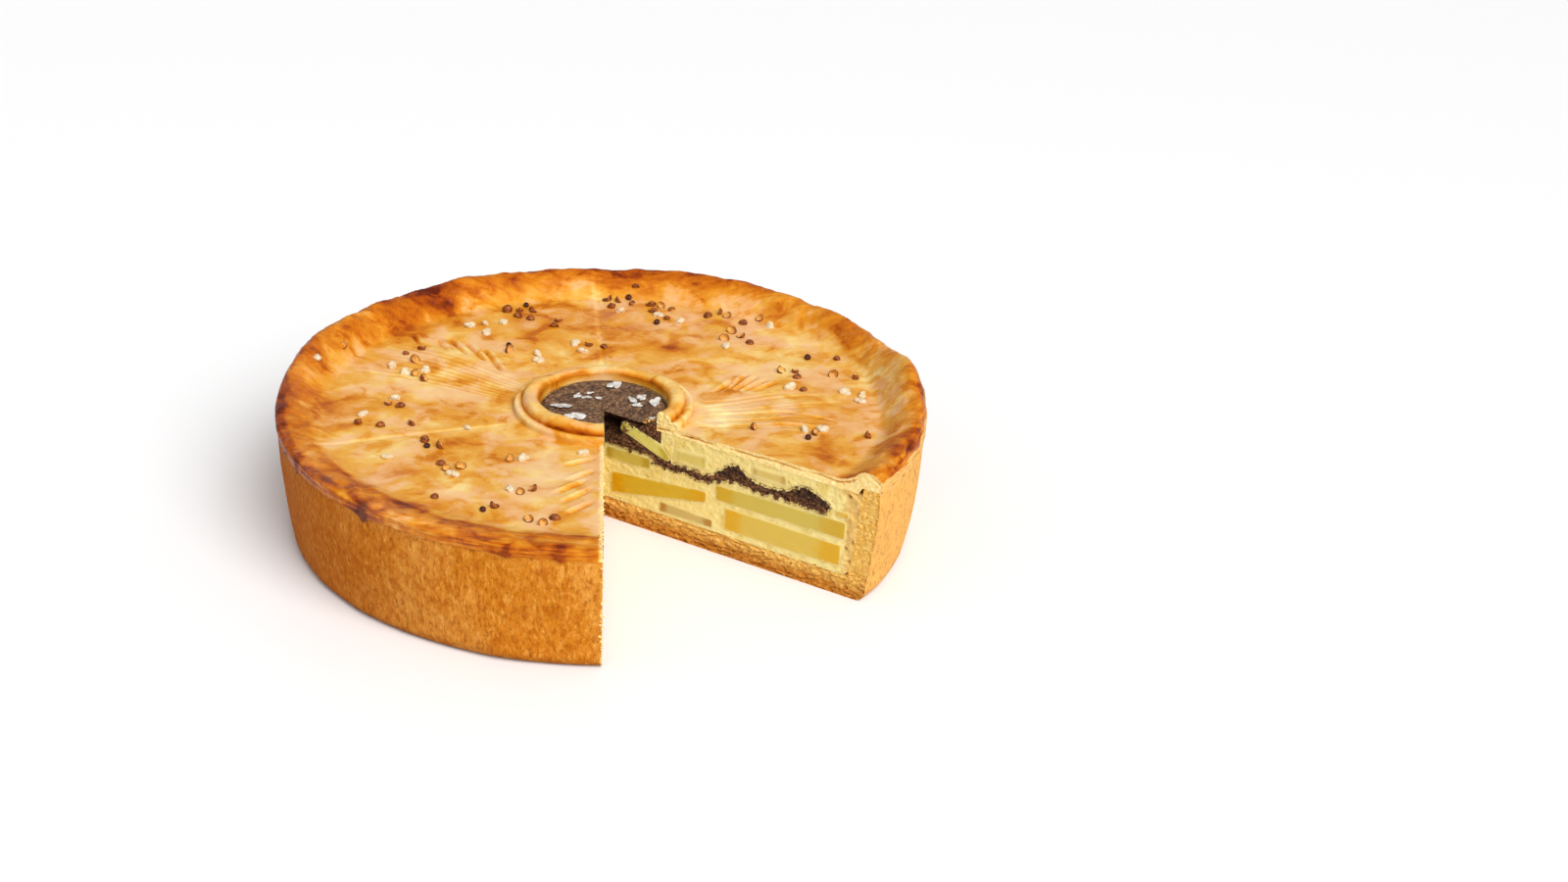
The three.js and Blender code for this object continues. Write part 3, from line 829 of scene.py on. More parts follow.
@dataclass(frozen=True)
class StuffingFinish:
    """Dark crumbly stuffing: brown, darker where it is painted dark, and nearly black with painted shade
    between its crumbs.
    """

    name: str
    light: str
    middle: str
    dark: str

    def make(self) -> Material:
        """Makes the finish."""
        graph = Graph(self.name)
        crumb = graph.noise(graph.place(), 1.3, 4.0, 0.65)
        cloud = graph.noise(graph.place(), 7.0, 3.0, 0.6)
        base = graph.blend(graph.between(crumb, 0.35, 0.62), self.dark, self.middle)
        base = graph.blend(graph.share(crumb, 0.58, 0.75, 0.8), base, self.light)
        base = graph.blend(graph.share(cloud, 0.5, 0.75, 0.5), base, self.dark)
        # Painted shade between crumbs, with the stuffing's own darker parts.
        shade_and_dark = graph.times(graph.painted("shade_and_dark"), 0.8)
        base = graph.blend(shade_and_dark, base, self.dark)
        graph.set(Base_Color=base, Roughness=0.75, Specular_IOR_Level=0.3)
        graph.set(Normal=graph.relief(crumb, 0.7))
        return graph.material


@dataclass(frozen=True)
class GrainFinish:
    """Finish of the small things that are strewn on the pie."""

    name: str
    light: str
    dark: str
    roughness: float
    lump: float
    clear: float = 0.0

    def make(self) -> Material:
        """Makes the finish."""
        graph = Graph(self.name)
        cloud = graph.noise(graph.place(), self.lump, 3.0, 0.6)
        graph.set(Base_Color=graph.blend(graph.between(cloud, 0.35, 0.65), self.dark, self.light))
        graph.set(Roughness=self.roughness, Specular_IOR_Level=0.25, Transmission_Weight=self.clear)
        graph.set(Normal=graph.relief(cloud, 0.2))
        return graph.material


class SweptPart:
    """Part swept from cut to cut; each kind gives its section, its paint and the relief of its cuts."""

    node: str
    piece: str
    slot: str
    spacing: float
    stations: int
    loops: Callable[[Array], list[Array]]
    paint: Paint
    torn: Relief

    def build(self, *finishes: Material) -> None:
        """Builds the part, with a finish for its sides and, where there are two, one for its cuts."""
        face = CutFace(self.torn, self.spacing, finish_number=len(finishes) - 1)
        sweep = Sweep(stations(self.stations), self.loops, face, self.paint)
        sweep.place(self.piece, finishes, self.slot, self.node)


@dataclass
class PastryCase(SweptPart):
    """Base and wall of the crust."""

    node: str = "pastry_case"
    piece: str = "crust_case"
    slot: str = "baked_pastry"
    spacing: float = 0.55
    foot_radius: float = 115.0
    flare: float = 4.6
    flare_power: float = 1.7
    foot_fillet: float = 4.5
    base_thickness: float = 8.5
    inner_foot: float = 108.5
    inner_top: float = 113.0
    inner_fillet: float = 2.0
    stations: int = 440

    def __post_init__(self) -> None:
        """Takes the wall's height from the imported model."""
        self.height = node_top(self.node)

    def outer(self, z: Array) -> Array:
        """Radius of the wall's outer face at a height."""
        return self.foot_radius + self.flare * (1 - (1 - z / self.height) ** self.flare_power)

    def inner(self, z: Array | float) -> Array:
        """Radius of the wall's inner face at a height."""
        share = (np.asarray(z, float) - self.base_thickness) / (self.height - self.base_thickness)
        return self.inner_foot + (self.inner_top - self.inner_foot) * share

    def outline(self) -> tuple[Array, Array]:
        """Section of the case.

        Returns:
            Points of the outline, and the share of the wall's unevenness that each one takes.
        """
        fillet = self.foot_fillet
        foot_centre = self.outer(np.array(fillet)) - fillet
        bend = np.linspace(-math.pi / 2, 0, 8)
        under = np.linspace(0, foot_centre, 20)[:-1]
        wall = np.linspace(fillet, self.height, 46)[1:]
        top = np.linspace(self.outer(wall[-1]), self.inner_top, 7)[1:-1]
        corner_z = self.base_thickness + self.inner_fillet
        inside = np.linspace(self.height, corner_z, 30)
        corner = np.linspace(0, -math.pi / 2, 5)[1:]
        floor = np.linspace(self.inner(corner_z) - self.inner_fillet, 0, 68)[1:]
        parts = [
            np.stack([under, 0 * under], axis=-1),
            np.stack([foot_centre + fillet * np.cos(bend), fillet + fillet * np.sin(bend)], axis=-1),
            np.stack([self.outer(wall), wall], axis=-1),
            np.stack([top, 0 * top + self.height], axis=-1),
            np.stack([self.inner(inside), inside], axis=-1),
            np.stack([self.inner(corner_z) + self.inner_fillet * (np.cos(corner) - 1),
                      corner_z + self.inner_fillet * np.sin(corner)], axis=-1),
            np.stack([floor, 0 * floor + self.base_thickness], axis=-1),
        ]
        uneven = [ease(bend, -math.pi / 2, 0), 1 + 0 * wall]
        even = [0 * part[:, 0] for part in parts]
        return np.concatenate(parts), np.concatenate([even[0], *uneven, *even[3:]])

    def loops(self, azimuths: Array) -> list[Array]:
        """Section at every station, with the uneven wall."""
        points, shares = self.outline()
        radius = np.broadcast_to(points[:, 0], (len(azimuths), len(points))).copy()
        height = np.broadcast_to(points[:, 1], radius.shape).copy()
        azimuth = azimuths[:, None]
        way = azimuth * self.foot_radius
        wave = (np.sin(7 * azimuth + 0.15 * height) + np.sin(13 * azimuth - 0.1 * height)) * 0.17
        lumps = Unevenness(11).fractal(way / 17, height / 17, layers=3) * 0.3
        sand = Unevenness(12).fractal(way / 2.4, height / 4.2, layers=2) * 0.13
        foot = Unevenness(13).at(way / 21, 0 * way) * 0.5 * bell(height, 2.0, 4.0)
        fade = 1 - ease(height, self.height - 7, self.height)
        radius += shares * (wave * fade + lumps * (0.35 + 0.65 * fade) + sand + foot)
        return [np.stack([radius, height], axis=-1)]

    def paint(self, radius: Array, azimuth: Array, height: Array) -> dict[str, Array]:
        """Painted values: place, how well baked the crumb is, and painted light that shades the wall on the
        left and pales it on the right.
        """
        low = 1 - ease(height, 2.0, 8.0)
        skin = 1 - ease(self.outer(np.maximum(height, 0.0)) - radius, 0.0, 1.2)
        # Painted light: shade towards the left side of the wall, light towards the right.
        left = bell(turn_from(azimuth, -175), 0, 1.0)
        right = bell(turn_from(azimuth, -12), 0, 0.75)
        return {
            **way_paint(radius, azimuth, height),
            "baked": np.clip(0.85 * low + 0.35 * skin, 0, 1),
            "side_light": 0.5 - 0.5 * left + 0.5 * right,
        }

    def torn(self, r: Array, z: Array) -> Array:
        """Relief of the cut: crumbs, with cracks along the layers."""
        crumbs = Unevenness(21).fractal(r / 2.2, z / 1.6, layers=3, gain=0.6) * 0.55
        bend = Unevenness(22).at(r / 14, z / 5) * 1.4
        layer = np.abs(Unevenness(23).at(r / 9, (z + bend) / 1.7))
        upright = ease(z, self.base_thickness, self.base_thickness + 6)
        return crumbs - 0.9 * (1 - upright) * bell(layer, 0.0, 0.09) - 0.1


@dataclass
class Groove:
    """Mark in the lid: its ends, width, depth, the height and side of its lip, and how far it bows out."""

    start: Array
    end: Array
    width: float
    depth: float
    lip: float
    bow: float = 0.0

    def across(self, x: Array, y: Array) -> tuple[Array, Array]:
        """Where points lie against the mark.

        Args:
            x: First coordinates of the points.
            y: Second coordinates.

        Returns:
            Signed distance from its line, and how far inside its length they are, from 0 to 1.
        """
        line = self.end - self.start
        length = float(np.hypot(*line))
        along = ((x - self.start[0]) * line[0] + (y - self.start[1]) * line[1]) / length
        aside = ((x - self.start[0]) * -line[1] + (y - self.start[1]) * line[0]) / length
        aside = aside - self.bow * 4 * (along / length) * (1 - along / length)
        taper = min(length / 3, 6.0)
        return aside, ease(along, -1.0, taper) * (1 - ease(along, length - taper, length + 1.0))


def spot(radius: float, azimuth: float) -> Array:
    """Point on the lid at a radius and an azimuth in degrees."""
    angle = math.radians(azimuth)
    return radius * np.array([math.cos(angle), math.sin(angle)])


@dataclass(frozen=True)
class Patch:
    """Patch of colour on the lid: azimuth in degrees, radius, half-lengths round and across, strength."""

    azimuth: float
    radius: float
    half_round: float
    half_across: float
    strength: float

    def share(self, radius: Array, azimuth: Array) -> Array:
        """How strongly points belong to the patch."""
        round_way = turn_from(azimuth, self.azimuth) * self.radius / self.half_round
        return self.strength * np.exp(-(round_way**2) - ((radius - self.radius) / self.half_across) ** 2)


@dataclass(frozen=True)
class Swell:
    """Place where the rim swells up: azimuth and half-width in degrees, and how far it rises."""

    azimuth: float
    half_width: float
    rise: float


@dataclass(frozen=True)
class Drip:
    """Burnt drip at the lid's edge: its azimuth in degrees, how far it hangs down, and half its width."""

    azimuth: float
    drop: float
    half: float


@dataclass
class PastryLid(SweptPart):
    """Glazed lid with a raised, lumpy rim, pressed lines and feathers."""

    node: str = "pastry_lid"
    piece: str = "glazed_lid"
    slot: str = "glazed_pastry"
    spacing: float = 0.5
    level: float = 46.0
    level_by_ring: float = 44.9
    underside: float = 42.2
    hole: float = 24.0
    crest: float = 115.6
    rim_foot: float = 102.0
    edge_height: float = 46.4
    low_rise: float = 2.6
    high_rise: float = 8.2
    over_wall: float = 44.95
    shoulder: float = 112.4
    stations: int = 632
    lip_rows: int = 10
    barbs: tuple[tuple[float, float, float, float], ...] = (
        (-80.5, 59.5, -76, 49.5), (-70, 53.5, -65, 46), (-66, 57, -56, 40.5), (-60, 55.5, -48.5, 36),
        (-52, 49, -44.5, 36), (-47.5, 40, -41.5, 29), (41, 18.5, 48, 31), (44, 18.5, 52.5, 35.5),
        (47.5, 19, 56.5, 34), (51, 19, 60, 30.5), (55, 19.5, 64, 28), (-10.5, -51.5, 0.8, -44),
        (-8, -64, 1.6, -54), (-11.5, -76, 0, -62), (-8, -82.5, 2.4, -69), (-5.5, -91, 3, -80),
    )
    creases: tuple[tuple[float, float, float, float], ...] = (
        (42, -3, 60, 0), (58, 0.4, 73, -1), (71, -0.6, 87, -6.5), (60, -10, 84, -13),
    )
    swells: tuple[Swell, ...] = (
        Swell(12, 9, 3.6), Swell(58, 11, 1.8), Swell(123, 8, 2.6), Swell(162, 14, 1.3),
    )
    drips: tuple[Drip, ...] = (
        Drip(-128, 1.7, 1.7), Drip(-149, 1.2, 1.5), Drip(-101, 0.7, 2.4), Drip(-92, 0.8, 1.6),
    )
    patches: tuple[Patch, ...] = (
        Patch(164, 72, 36, 15, -0.12), Patch(178, 76, 55, 34, 0.05), Patch(95, 76, 44, 20, 0.04),
        Patch(234, 90, 62, 15, -0.07), Patch(54, 87, 26, 11, -0.11), Patch(140, 110, 34, 8, 0.12),
        Patch(104, 113, 46, 6, 0.05), Patch(176, 110, 24, 8, 0.06), Patch(-5, 46, 18, 12, -0.16),
        Patch(256, 66, 20, 24, -0.08), Patch(36, 86, 26, 16, -0.05), Patch(205, 88, 16, 10, -0.05),
        Patch(136, 101, 30, 9, 0.16), Patch(68, 62, 14, 7, 0.2), Patch(110, 84, 24, 9, 0.14),
        Patch(118, 66, 10, 6, 0.12), Patch(186, 76, 12, 4, 0.2), Patch(189, 100, 22, 9, 0.12),
        Patch(225, 88, 9, 6, 0.28), Patch(242, 102, 20, 5, 0.16), Patch(254, 88, 9, 3.5, 0.22),
        Patch(-2, 68, 5, 16, 0.1), Patch(-31, 107, 4, 6, 0.3), Patch(-14, 86, 10, 4, 0.16),
        # Patch(2, 108) and Patch(28, 108) are painted light: they pale the rim's inner slope at the right,
        # which faces away from the key.
        Patch(-27, 92, 12, 5, 0.14), Patch(33, 110, 16, 6, 0.12), Patch(2, 108, 36, 8, -0.22),
        Patch(28, 108, 24, 7, -0.1), Patch(-19, 114, 7, 4, 0.14), Patch(-9, 116, 12, 3, 0.05),
        Patch(4, 115, 9, 4, 0.02), Patch(172, 116, 16, 4, 0.12), Patch(186, 117, 12, 4, 0.12),
        Patch(143, 117, 4, 3, 0.34), Patch(133, 118, 3, 3, 0.28), Patch(-128, 120, 2.4, 3, 0.3),
        Patch(-149, 120, 2.2, 3, 0.3), Patch(-92, 119.5, 3, 2.5, 0.25), Patch(120, 98, 16, 10, 0.05),
    )
    # Patches of painted sheen, where the glaze gets a pinkish reflection.
    sheen_patches: tuple[Patch, ...] = (
        Patch(80, 86, 26, 12, 0.75), Patch(54, 88, 22, 12, 0.8), Patch(222, 100, 40, 8, 0.7),
        Patch(228, 117, 48, 4, 0.28), Patch(180, 114, 18, 6, 0.15), Patch(120, 84, 14, 5, 0.6),
    )

    def __post_init__(self) -> None:
        """Takes the rim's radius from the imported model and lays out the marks."""
        self.rim = node_reach(self.node)
        self.marks = self._marks()

    def _marks(self) -> list[Groove]:
        """Lines, barbs and comb strokes in the lid."""
        marks = [
            Groove(spot(37, 94), spot(117, 96.4), width=0.9, depth=0.5, lip=0.1),
            Groove(spot(37, -150.5), spot(113, -154.8), width=0.9, depth=0.45, lip=0.1),
        ]
        for x0, y0, x1, y1 in self.barbs:
            ends = np.array([x0, y0]), np.array([x1, y1])
            marks.append(Groove(*ends, width=0.85, depth=1.15, lip=0.35))
        for x0, y0, x1, y1 in self.creases:
            ends = np.array([x0, y0]), np.array([x1, y1])
            marks.append(Groove(*ends, width=0.8, depth=0.35, lip=0.3, bow=0.8))
        for k in range(8):
            near = spot(36 + math.sin(1.7 * k), 12 - 5 * k + 2 * math.sin(5 * k))
            far = spot(70 + 20 * abs(math.sin(2.3 * k)), 15 - 3.4 * k + 1.5 * math.sin(3 * k))
            marks.append(Groove(near, far, width=0.7, depth=0.2, lip=0.14, bow=2 * math.sin(1.9 * k)))
        for k in range(9):
            near = spot(36, 150 + 3.4 * k)
            far = spot(96 + 6 * math.sin(2 * k), 150 + 2.3 * k)
            marks.append(Groove(near, far, width=0.6, depth=0.18, lip=0.12, bow=-2.5))
        return marks

    def rise(self, azimuth: Array) -> Array:
        """Height of the rim's crest above the lid: high round the back, low at the front left."""
        right = 0.6 + 0.4 * ease(azimuth, RIGHT_CUT, 0.2)
        left = 1 - ease(azimuth, 2.85, 3.5)
        waves = 0.6 * np.sin(4.6 * azimuth + 1.1) + 0.45 * np.sin(11 * azimuth)
        lift = sum(s.rise * bell(np.degrees(azimuth), s.azimuth, s.half_width) for s in self.swells)
        height = self.low_rise + (self.high_rise - self.low_rise) * right * left
        return height + waves * (0.4 + 0.6 * left) + lift

    @staticmethod
    def _wrinkles(x: Array, y: Array) -> Array:
        """Wrinkles of the skin, drawn out along X: 0 in a crease, and up to about 1 either side of it."""
        warp = 2.4 * Unevenness(34).at(x / 17, y / 9)
        return Unevenness(39).fractal(x / 15, (y + warp) / 2.6, layers=2, gain=0.6)

    def top(self, radius: Array, azimuth: Array) -> Array:
        """Height of the lid's top at points given by radius and azimuth."""
        x, y = radius * np.cos(azimuth), radius * np.sin(azimuth)
        way = azimuth * self.rim
        crest = self.crest + 0.9 * Unevenness(31).at(way / 26, 0 * way)
        profile = np.where(
            radius < crest,
            self._inner_slope(radius, crest),
            np.sqrt(np.clip(1 - ((radius - crest) / (self.rim + 0.25 - crest)) ** 2, 0, 1)),
        )
        level = self.level_by_ring + (self.level - self.level_by_ring) * ease(radius, 42, 78)
        edge = (self.edge_height - self.level) * ease(radius, self.crest, self.rim)
        swell = 0.45 * Unevenness(32).fractal(x / 30, y / 30, layers=2) * ease(radius, 36, 50)
        on_rim = ease(radius, 103, 110) * (1 - ease(radius, 118.5, self.rim))
        lumps = 0.9 * Unevenness(33).fractal(way / 12, radius / 7, layers=3) * on_rim
        folds = (0.04 + 0.5 * on_rim) * (np.abs(self._wrinkles(x, y)) - 0.3) * ease(radius, 35, 42)
        folds = folds * (1 - ease(radius, self.crest + 2, self.rim))
        return level + self.rise(azimuth) * profile + edge + swell + lumps + folds + self._marked(x, y)[0]

    def _inner_slope(self, radius: Array, crest: Array) -> Array:
        """Slope from the lid up to the crest: 0 at the rim's foot and 1 at the crest."""
        share = np.clip((radius - self.rim_foot) / (crest - self.rim_foot), 0, 1)
        return share * share * (3 - 2 * share)

    def _marked(self, x: Array, y: Array) -> tuple[Array, Array, Array]:
        """Height of the marks at points, and how deep in a groove and how high on a ridge each lies."""
        height = np.zeros(np.shape(x))
        share = np.zeros(np.shape(x))
        ridge = np.zeros(np.shape(x))
        for mark in self.marks:
            aside, within = mark.across(x, y)
            groove = bell(aside, 0, mark.width) * within
            raised = bell(aside, np.sign(mark.lip) * 1.8 * mark.width, mark.width) * within
            height = height - mark.depth * groove + abs(mark.lip) * raised
            share = np.maximum(share, groove * min(1.0, mark.depth / 0.45))
            ridge = np.maximum(ridge, raised * min(1.0, abs(mark.lip) / 0.3))
        return height, share, ridge

    def outline_radii(self) -> tuple[Array, Array]:
        """Radii of the underside from the hole outwards, and of the top from the edge inwards."""
        under = np.concatenate([np.linspace(self.hole, self.shoulder - 1.6, 4), [self.shoulder]])
        over = np.linspace(self.shoulder, self.rim - 0.4, 8)[1:]
        bend = np.linspace(math.pi / 2, 0, 17)
        bulge = self.crest + (self.rim - self.crest) * np.sin(bend)
        wrinkled = np.arange(self.crest - 0.4, self.rim_foot - 6, -0.55)
        flat = np.arange(wrinkled[-1] - 0.95, self.hole, -0.95)
        return np.concatenate([under, over]), np.concatenate([bulge, wrinkled, flat, [self.hole]])

    def loops(self, azimuths: Array) -> list[Array]:
        """Section at every station."""
        under, over = self.outline_radii()
        azimuth = azimuths[:, None]
        low = np.where(under < self.shoulder - 0.1, self.underside, self.over_wall) + 0 * azimuth
        way = azimuth * self.rim
        hang = 1.3 + 0.8 * Unevenness(36).fractal(way / 12, 0 * way, layers=4, gain=0.6)
        drips = sum(d.drop * bell(turn_from(azimuth, d.azimuth) * self.rim, 0, d.half) for d in self.drips)
        at_edge = ease(under, self.rim - 1.4, self.rim - 0.4)
        low = low - (np.maximum(hang, 0) + drips) * at_edge
        high = self.top(over + 0 * azimuth, azimuth + 0 * over)
        lip = ease(over, self.crest, self.rim)
        ragged = 0.5 * Unevenness(37).fractal(way / 8, 0 * way, layers=3)
        layers = 0.3 * Unevenness(38).fractal(way / 22, high / 1.2, layers=2)
        swollen = over + lip * (ragged + layers + 0.3 * drips + 0.25)
        below = under + (0.3 * drips + 0.7 * ragged + 0.3) * at_edge
        up = np.linspace(0, 1, self.lip_rows)[1:-1]
        face = low[:, -1:] + (high[:, :1] - low[:, -1:]) * up
        flakes = 0.4 * Unevenness(44).fractal(way / 9, face / 0.8, layers=3, gain=0.6)
        front = below[:, -1:] + (swollen[:, :1] - below[:, -1:]) * up + flakes
        radius = np.concatenate([below + 0 * azimuth, front, swollen], axis=1)
        return [np.stack([radius, np.concatenate([low, face, high], axis=1)], axis=-1)]

    def paint(self, radius: Array, azimuth: Array, height: Array) -> dict[str, Array]:
        """Painted values: place, how dark glaze and crumb are baked, with painted shade in creases and
        cracks, bare dough, and pinkish painted sheen.
        """
        ragged = self._ragged(radius, azimuth)
        bake = self._bake(radius, azimuth, height)
        bare = self._bare(radius, azimuth, height)
        wrinkles = self._wrinkles(radius * np.cos(azimuth), radius * np.sin(azimuth))
        # Painted shade: the glaze is darker in the creases of the wrinkles.
        crease_shade = bell(wrinkles, 0, 0.13) * ease(radius + ragged, 98, 108)
        below = self.top(radius, azimuth) - height
        skin = 0.45 * bell(below, 0, 0.5)
        # Painted shade: the crack under the top skin is painted dark.
        baked = skin + self._crack(radius, below) + 0.12 * ease(radius, 96, 108)
        return {
            **way_paint(radius, azimuth, height),
            "bake": bake + 0.08 * crease_shade * (1 - bare) - 0.5 * self._torn_edge(radius, azimuth),
            "bare": bare,
            # Painted sheen: places where the glaze gets a pinkish reflection.
            "sheen_patch": sum(patch.share(radius + 0.4 * ragged, azimuth) for patch in self.sheen_patches),
            "baked": np.clip(baked, 0, 1),
        }

    def _ragged(self, radius: Array, azimuth: Array) -> Array:
        """How far the borders of colours stray at points."""
        return 4.0 * Unevenness(41).fractal(azimuth * self.rim / 14, radius / 14, layers=3)

    def _outside(self, radius: Array) -> Array:
        """1 on the rim's outer side and 0 inside its crest."""
        return ease(radius, self.crest + 0.5, self.crest + 2.0)

    def _bake(self, radius: Array, azimuth: Array, height: Array) -> Array:
        """How dark the glaze is baked: darker on the rim and at the browned patches, with painted shade in
        the grooves and painted highlight on their ridges; two patches on the right rim's slope are painted
        light.
        """
        ragged, outside = self._ragged(radius, azimuth), self._outside(radius)
        x, y = radius * np.cos(azimuth), radius * np.sin(azimuth)
        front = ease(azimuth, 3.3, 3.8)
        browned = 0.8 * bell(radius + 0.35 * ragged, 110, 2.6) + ease(radius, 107, 110)
        back = bell(turn_from(azimuth, 95), 0, 0.75)
        band = ease(radius + ragged, 102, 114) * (1 - front) * (1 + 0.9 * back) + 1.2 * browned * front
        edge = ease(radius, self.crest - 1, self.crest + 2.5)
        layered = Unevenness(38).fractal(azimuth * self.rim / 16, height / 1.0, layers=3)
        by_ring = 1 - ease(radius, 34, 54)
        far_left = bell(turn_from(azimuth, -162), 0, 0.45)
        bake = 0.355 + 0.15 * band + 0.07 * edge + 0.3 * layered * outside
        bake = bake - 0.06 * by_ring + 0.16 * outside * far_left
        bake = bake + sum(patch.share(radius + 0.4 * ragged, azimuth) for patch in self.patches)
        # Painted shade in the grooves, painted highlight on the ridges beside them.
        groove_shade, ridge_highlight = self._marked(x, y)[1:]
        # The first two marks are the long pressed lines.
        lines = np.maximum(*(m.across(x, y)[1] * bell(m.across(x, y)[0], 0, 1.3) for m in self.marks[:2]))
        return bake + 0.2 * groove_shade - 0.14 * ridge_highlight - 0.26 * lines * (1 - ease(radius, 113, 116))

    def _bare(self, radius: Array, azimuth: Array, height: Array) -> Array:
        """How bare the dough is: in a strip under the rim at the right, and in flecks at the front."""
        ragged, outside = self._ragged(radius, azimuth), self._outside(radius)
        right = 1 - ease(azimuth, 0.9, 1.5)
        brink = self.level + self.rise(azimuth) - 3.0
        bare = outside * (1 - ease(height + 0.5 * ragged, brink - 1.6, brink + 0.8)) * right
        flecks = Unevenness(42).fractal(azimuth * self.rim / 9, height / 0.8, layers=2)
        by_foot = 1 - ease(height, self.over_wall - 0.6, self.over_wall + 0.2)
        flaky = bell(turn_from(azimuth, -117), 0, 0.2) * by_foot
        return bare + 0.65 * ease(flecks, 0.2, 0.5) * outside * flaky

    @staticmethod
    def _torn_edge(radius: Array, azimuth: Array) -> Array:
        """Pale crumb that shows along the lid's edge at the left cut: 1 at the cut and 0 away from it."""
        aside = radius * (LEFT_CUT - azimuth)
        ragged = 0.7 * Unevenness(43).fractal(radius / 3, 0 * radius, layers=3)
        return 1 - ease(aside + ragged, 0.7, 1.9)

    @staticmethod
    def _crack(radius: Array, below: Array) -> Array:
        """Crack under the top skin at the cuts, by the depth below the top: 1 inside it and 0 away."""
        depth = 1.5 + 0.8 * Unevenness(25).fractal(radius / 9, 0 * radius, layers=3)
        return bell(below, depth, 0.3) * ease(Unevenness(26).at(radius / 12, 0 * radius), -0.3, 0.1)

    def torn(self, r: Array, z: Array) -> Array:
        """Relief of the cut: soft crumbs and a crack under the top skin."""
        crumbs = Unevenness(24).fractal(r / 2.4, z / 1.6, layers=3, gain=0.6) * 0.28
        return crumbs - 0.9 * self._crack(r, self.top(r, RIGHT_CUT + 0 * r) - z)


@dataclass
class DoughRing(SweptPart):
    """Ring of dough round the hole: a low flange outside and a rounded bead inside."""

    node: str = "dough_ring"
    piece: str = "ring_of_dough"
    slot: str = "ring_pastry"
    spacing: float = 0.5
    middle: float = 28.0
    foot: float = 45.25
    inner: float = 23.9
    bead: float = 3.1
    height: float = 5.9
    flange: float = 2.4
    stations: int = 420

    def __post_init__(self) -> None:
        """Takes the ring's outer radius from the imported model."""
        self.outer = node_reach(self.node)

    def loops(self, azimuths: Array) -> list[Array]:
        """Section at every station."""
        azimuth = azimuths[:, None]
        swell = 0.25 * np.sin(5 * azimuth) + 0.2 * np.sin(9 * azimuth + 1)
        turns = np.linspace(-0.25, math.pi + 0.12, 26)
        foot, flange = self.foot, self.foot + self.flange
        skirt = np.array([
            [self.inner, foot], [self.outer - 2, foot - 1.0], [self.outer, foot - 1.0],
            [self.outer, flange - 0.9], [self.outer - 0.3, flange - 0.3], [self.outer - 0.9, flange],
            [self.outer - 1.8, flange], [self.outer - 2.5, flange - 0.25], [self.outer - 2.9, flange - 0.3],
        ])
        skirt = densify(skirt, 0.6)[: -int(abs(skirt[-1, 0] - self.inner) / 0.6)]
        bead_r = self.inner + self.bead + 0.2 + self.bead * np.cos(turns)
        bead_z = foot + self.height - self.bead + self.bead * np.sin(turns)
        radius = np.concatenate([skirt[:, 0], bead_r]) + 0 * azimuth
        height = np.concatenate([skirt[:, 1], bead_z]) + 0 * azimuth
        on_bead = ease(height, flange, flange + 1.5)
        way = azimuth * self.middle
        lumps = Unevenness(51).fractal(way / 9, radius / 5, height / 5, layers=2) * 0.35
        fine = Unevenness(52).fractal(way / 2.5, radius / 1.6, height / 1.6, layers=2) * 0.12
        flatter = 1.9 * bell(turn_from(azimuth, 92), 0, 1.15) + 0.8 * bell(turn_from(azimuth, -10), 0, 0.6)
        low_bead = (height - flange) / (self.height - self.flange) * flatter * on_bead
        height = height - low_bead + on_bead * (swell + lumps) + ease(height, foot + 0.5, foot + 1.5) * fine
        stray = 0.5 * Unevenness(53).at(way / 14, 0 * way)
        radius = radius + stray * ease(radius, self.inner + 0.5, self.inner + 4)
        return [np.stack([radius, height], axis=-1)]

    def paint(self, radius: Array, azimuth: Array, height: Array) -> dict[str, Array]:
        """Painted values: browned groove and inner wall, pale flange, golden top."""
        flange = self.foot + self.flange
        ragged = 0.4 * Unevenness(54).at(azimuth * self.middle / 6, radius / 3)
        groove = bell(radius + ragged, self.outer - 3.2, 0.8) * bell(height, flange + 0.2, 1.3)
        inside = 1 - ease(radius + ragged, self.inner + 0.2, self.inner + 1.8)
        inside = inside * ease(height, self.foot, self.foot + 1.5)
        pale = ease(radius, self.outer - 2.4, self.outer - 1.0)
        side = ease(radius, self.inner + 4.6, self.inner + 6.0) * (1 - pale)
        near = bell(turn_from(azimuth, -125), 0, 0.9)
        bake = 0.27 - 0.05 * near + 0.3 * groove + 0.3 * inside - 0.06 * pale
        return {
            **way_paint(radius, azimuth, height),
            "bake": bake + (0.02 + 0.03 * near) * side,
            "baked": 0 * radius,
        }

    def torn(self, r: Array, z: Array) -> Array:
        """Relief of the cut."""
        return Unevenness(55).fractal(r / 2.0, z / 1.6, layers=3, gain=0.6) * 0.5


@dataclass(frozen=True)
class Slice:
    """Potato slice at the cut: radius, low and high edge of both ends, colours, and blur of its edge."""

    node: str
    inner: tuple[float, float, float]
    outer: tuple[float, float, float]
    pale: str
    deep: str
    blur: float = 0.7

    def outline(self) -> Array:
        """Rounded section of the slice at the right cut."""
        (r0, low0, high0), (r1, low1, high1) = self.inner, self.outer
        corners = np.array([[r0, low0], [r1, low1], [r1, high1], [r0, high0]])
        return uneven_slice(corners)


def uneven_slice(corners: Array) -> Array:
    """Section of a slice with small rounded corners and slightly wavy edges."""
    dense = densify(round_corners(densify(corners, 2.6), passes=2), 0.9)
    wave = Unevenness(61).fractal(dense[:, 0] / 7, dense[:, 1] / 7, layers=2)
    return dense + outward(dense) * 0.22 * wave[:, None]


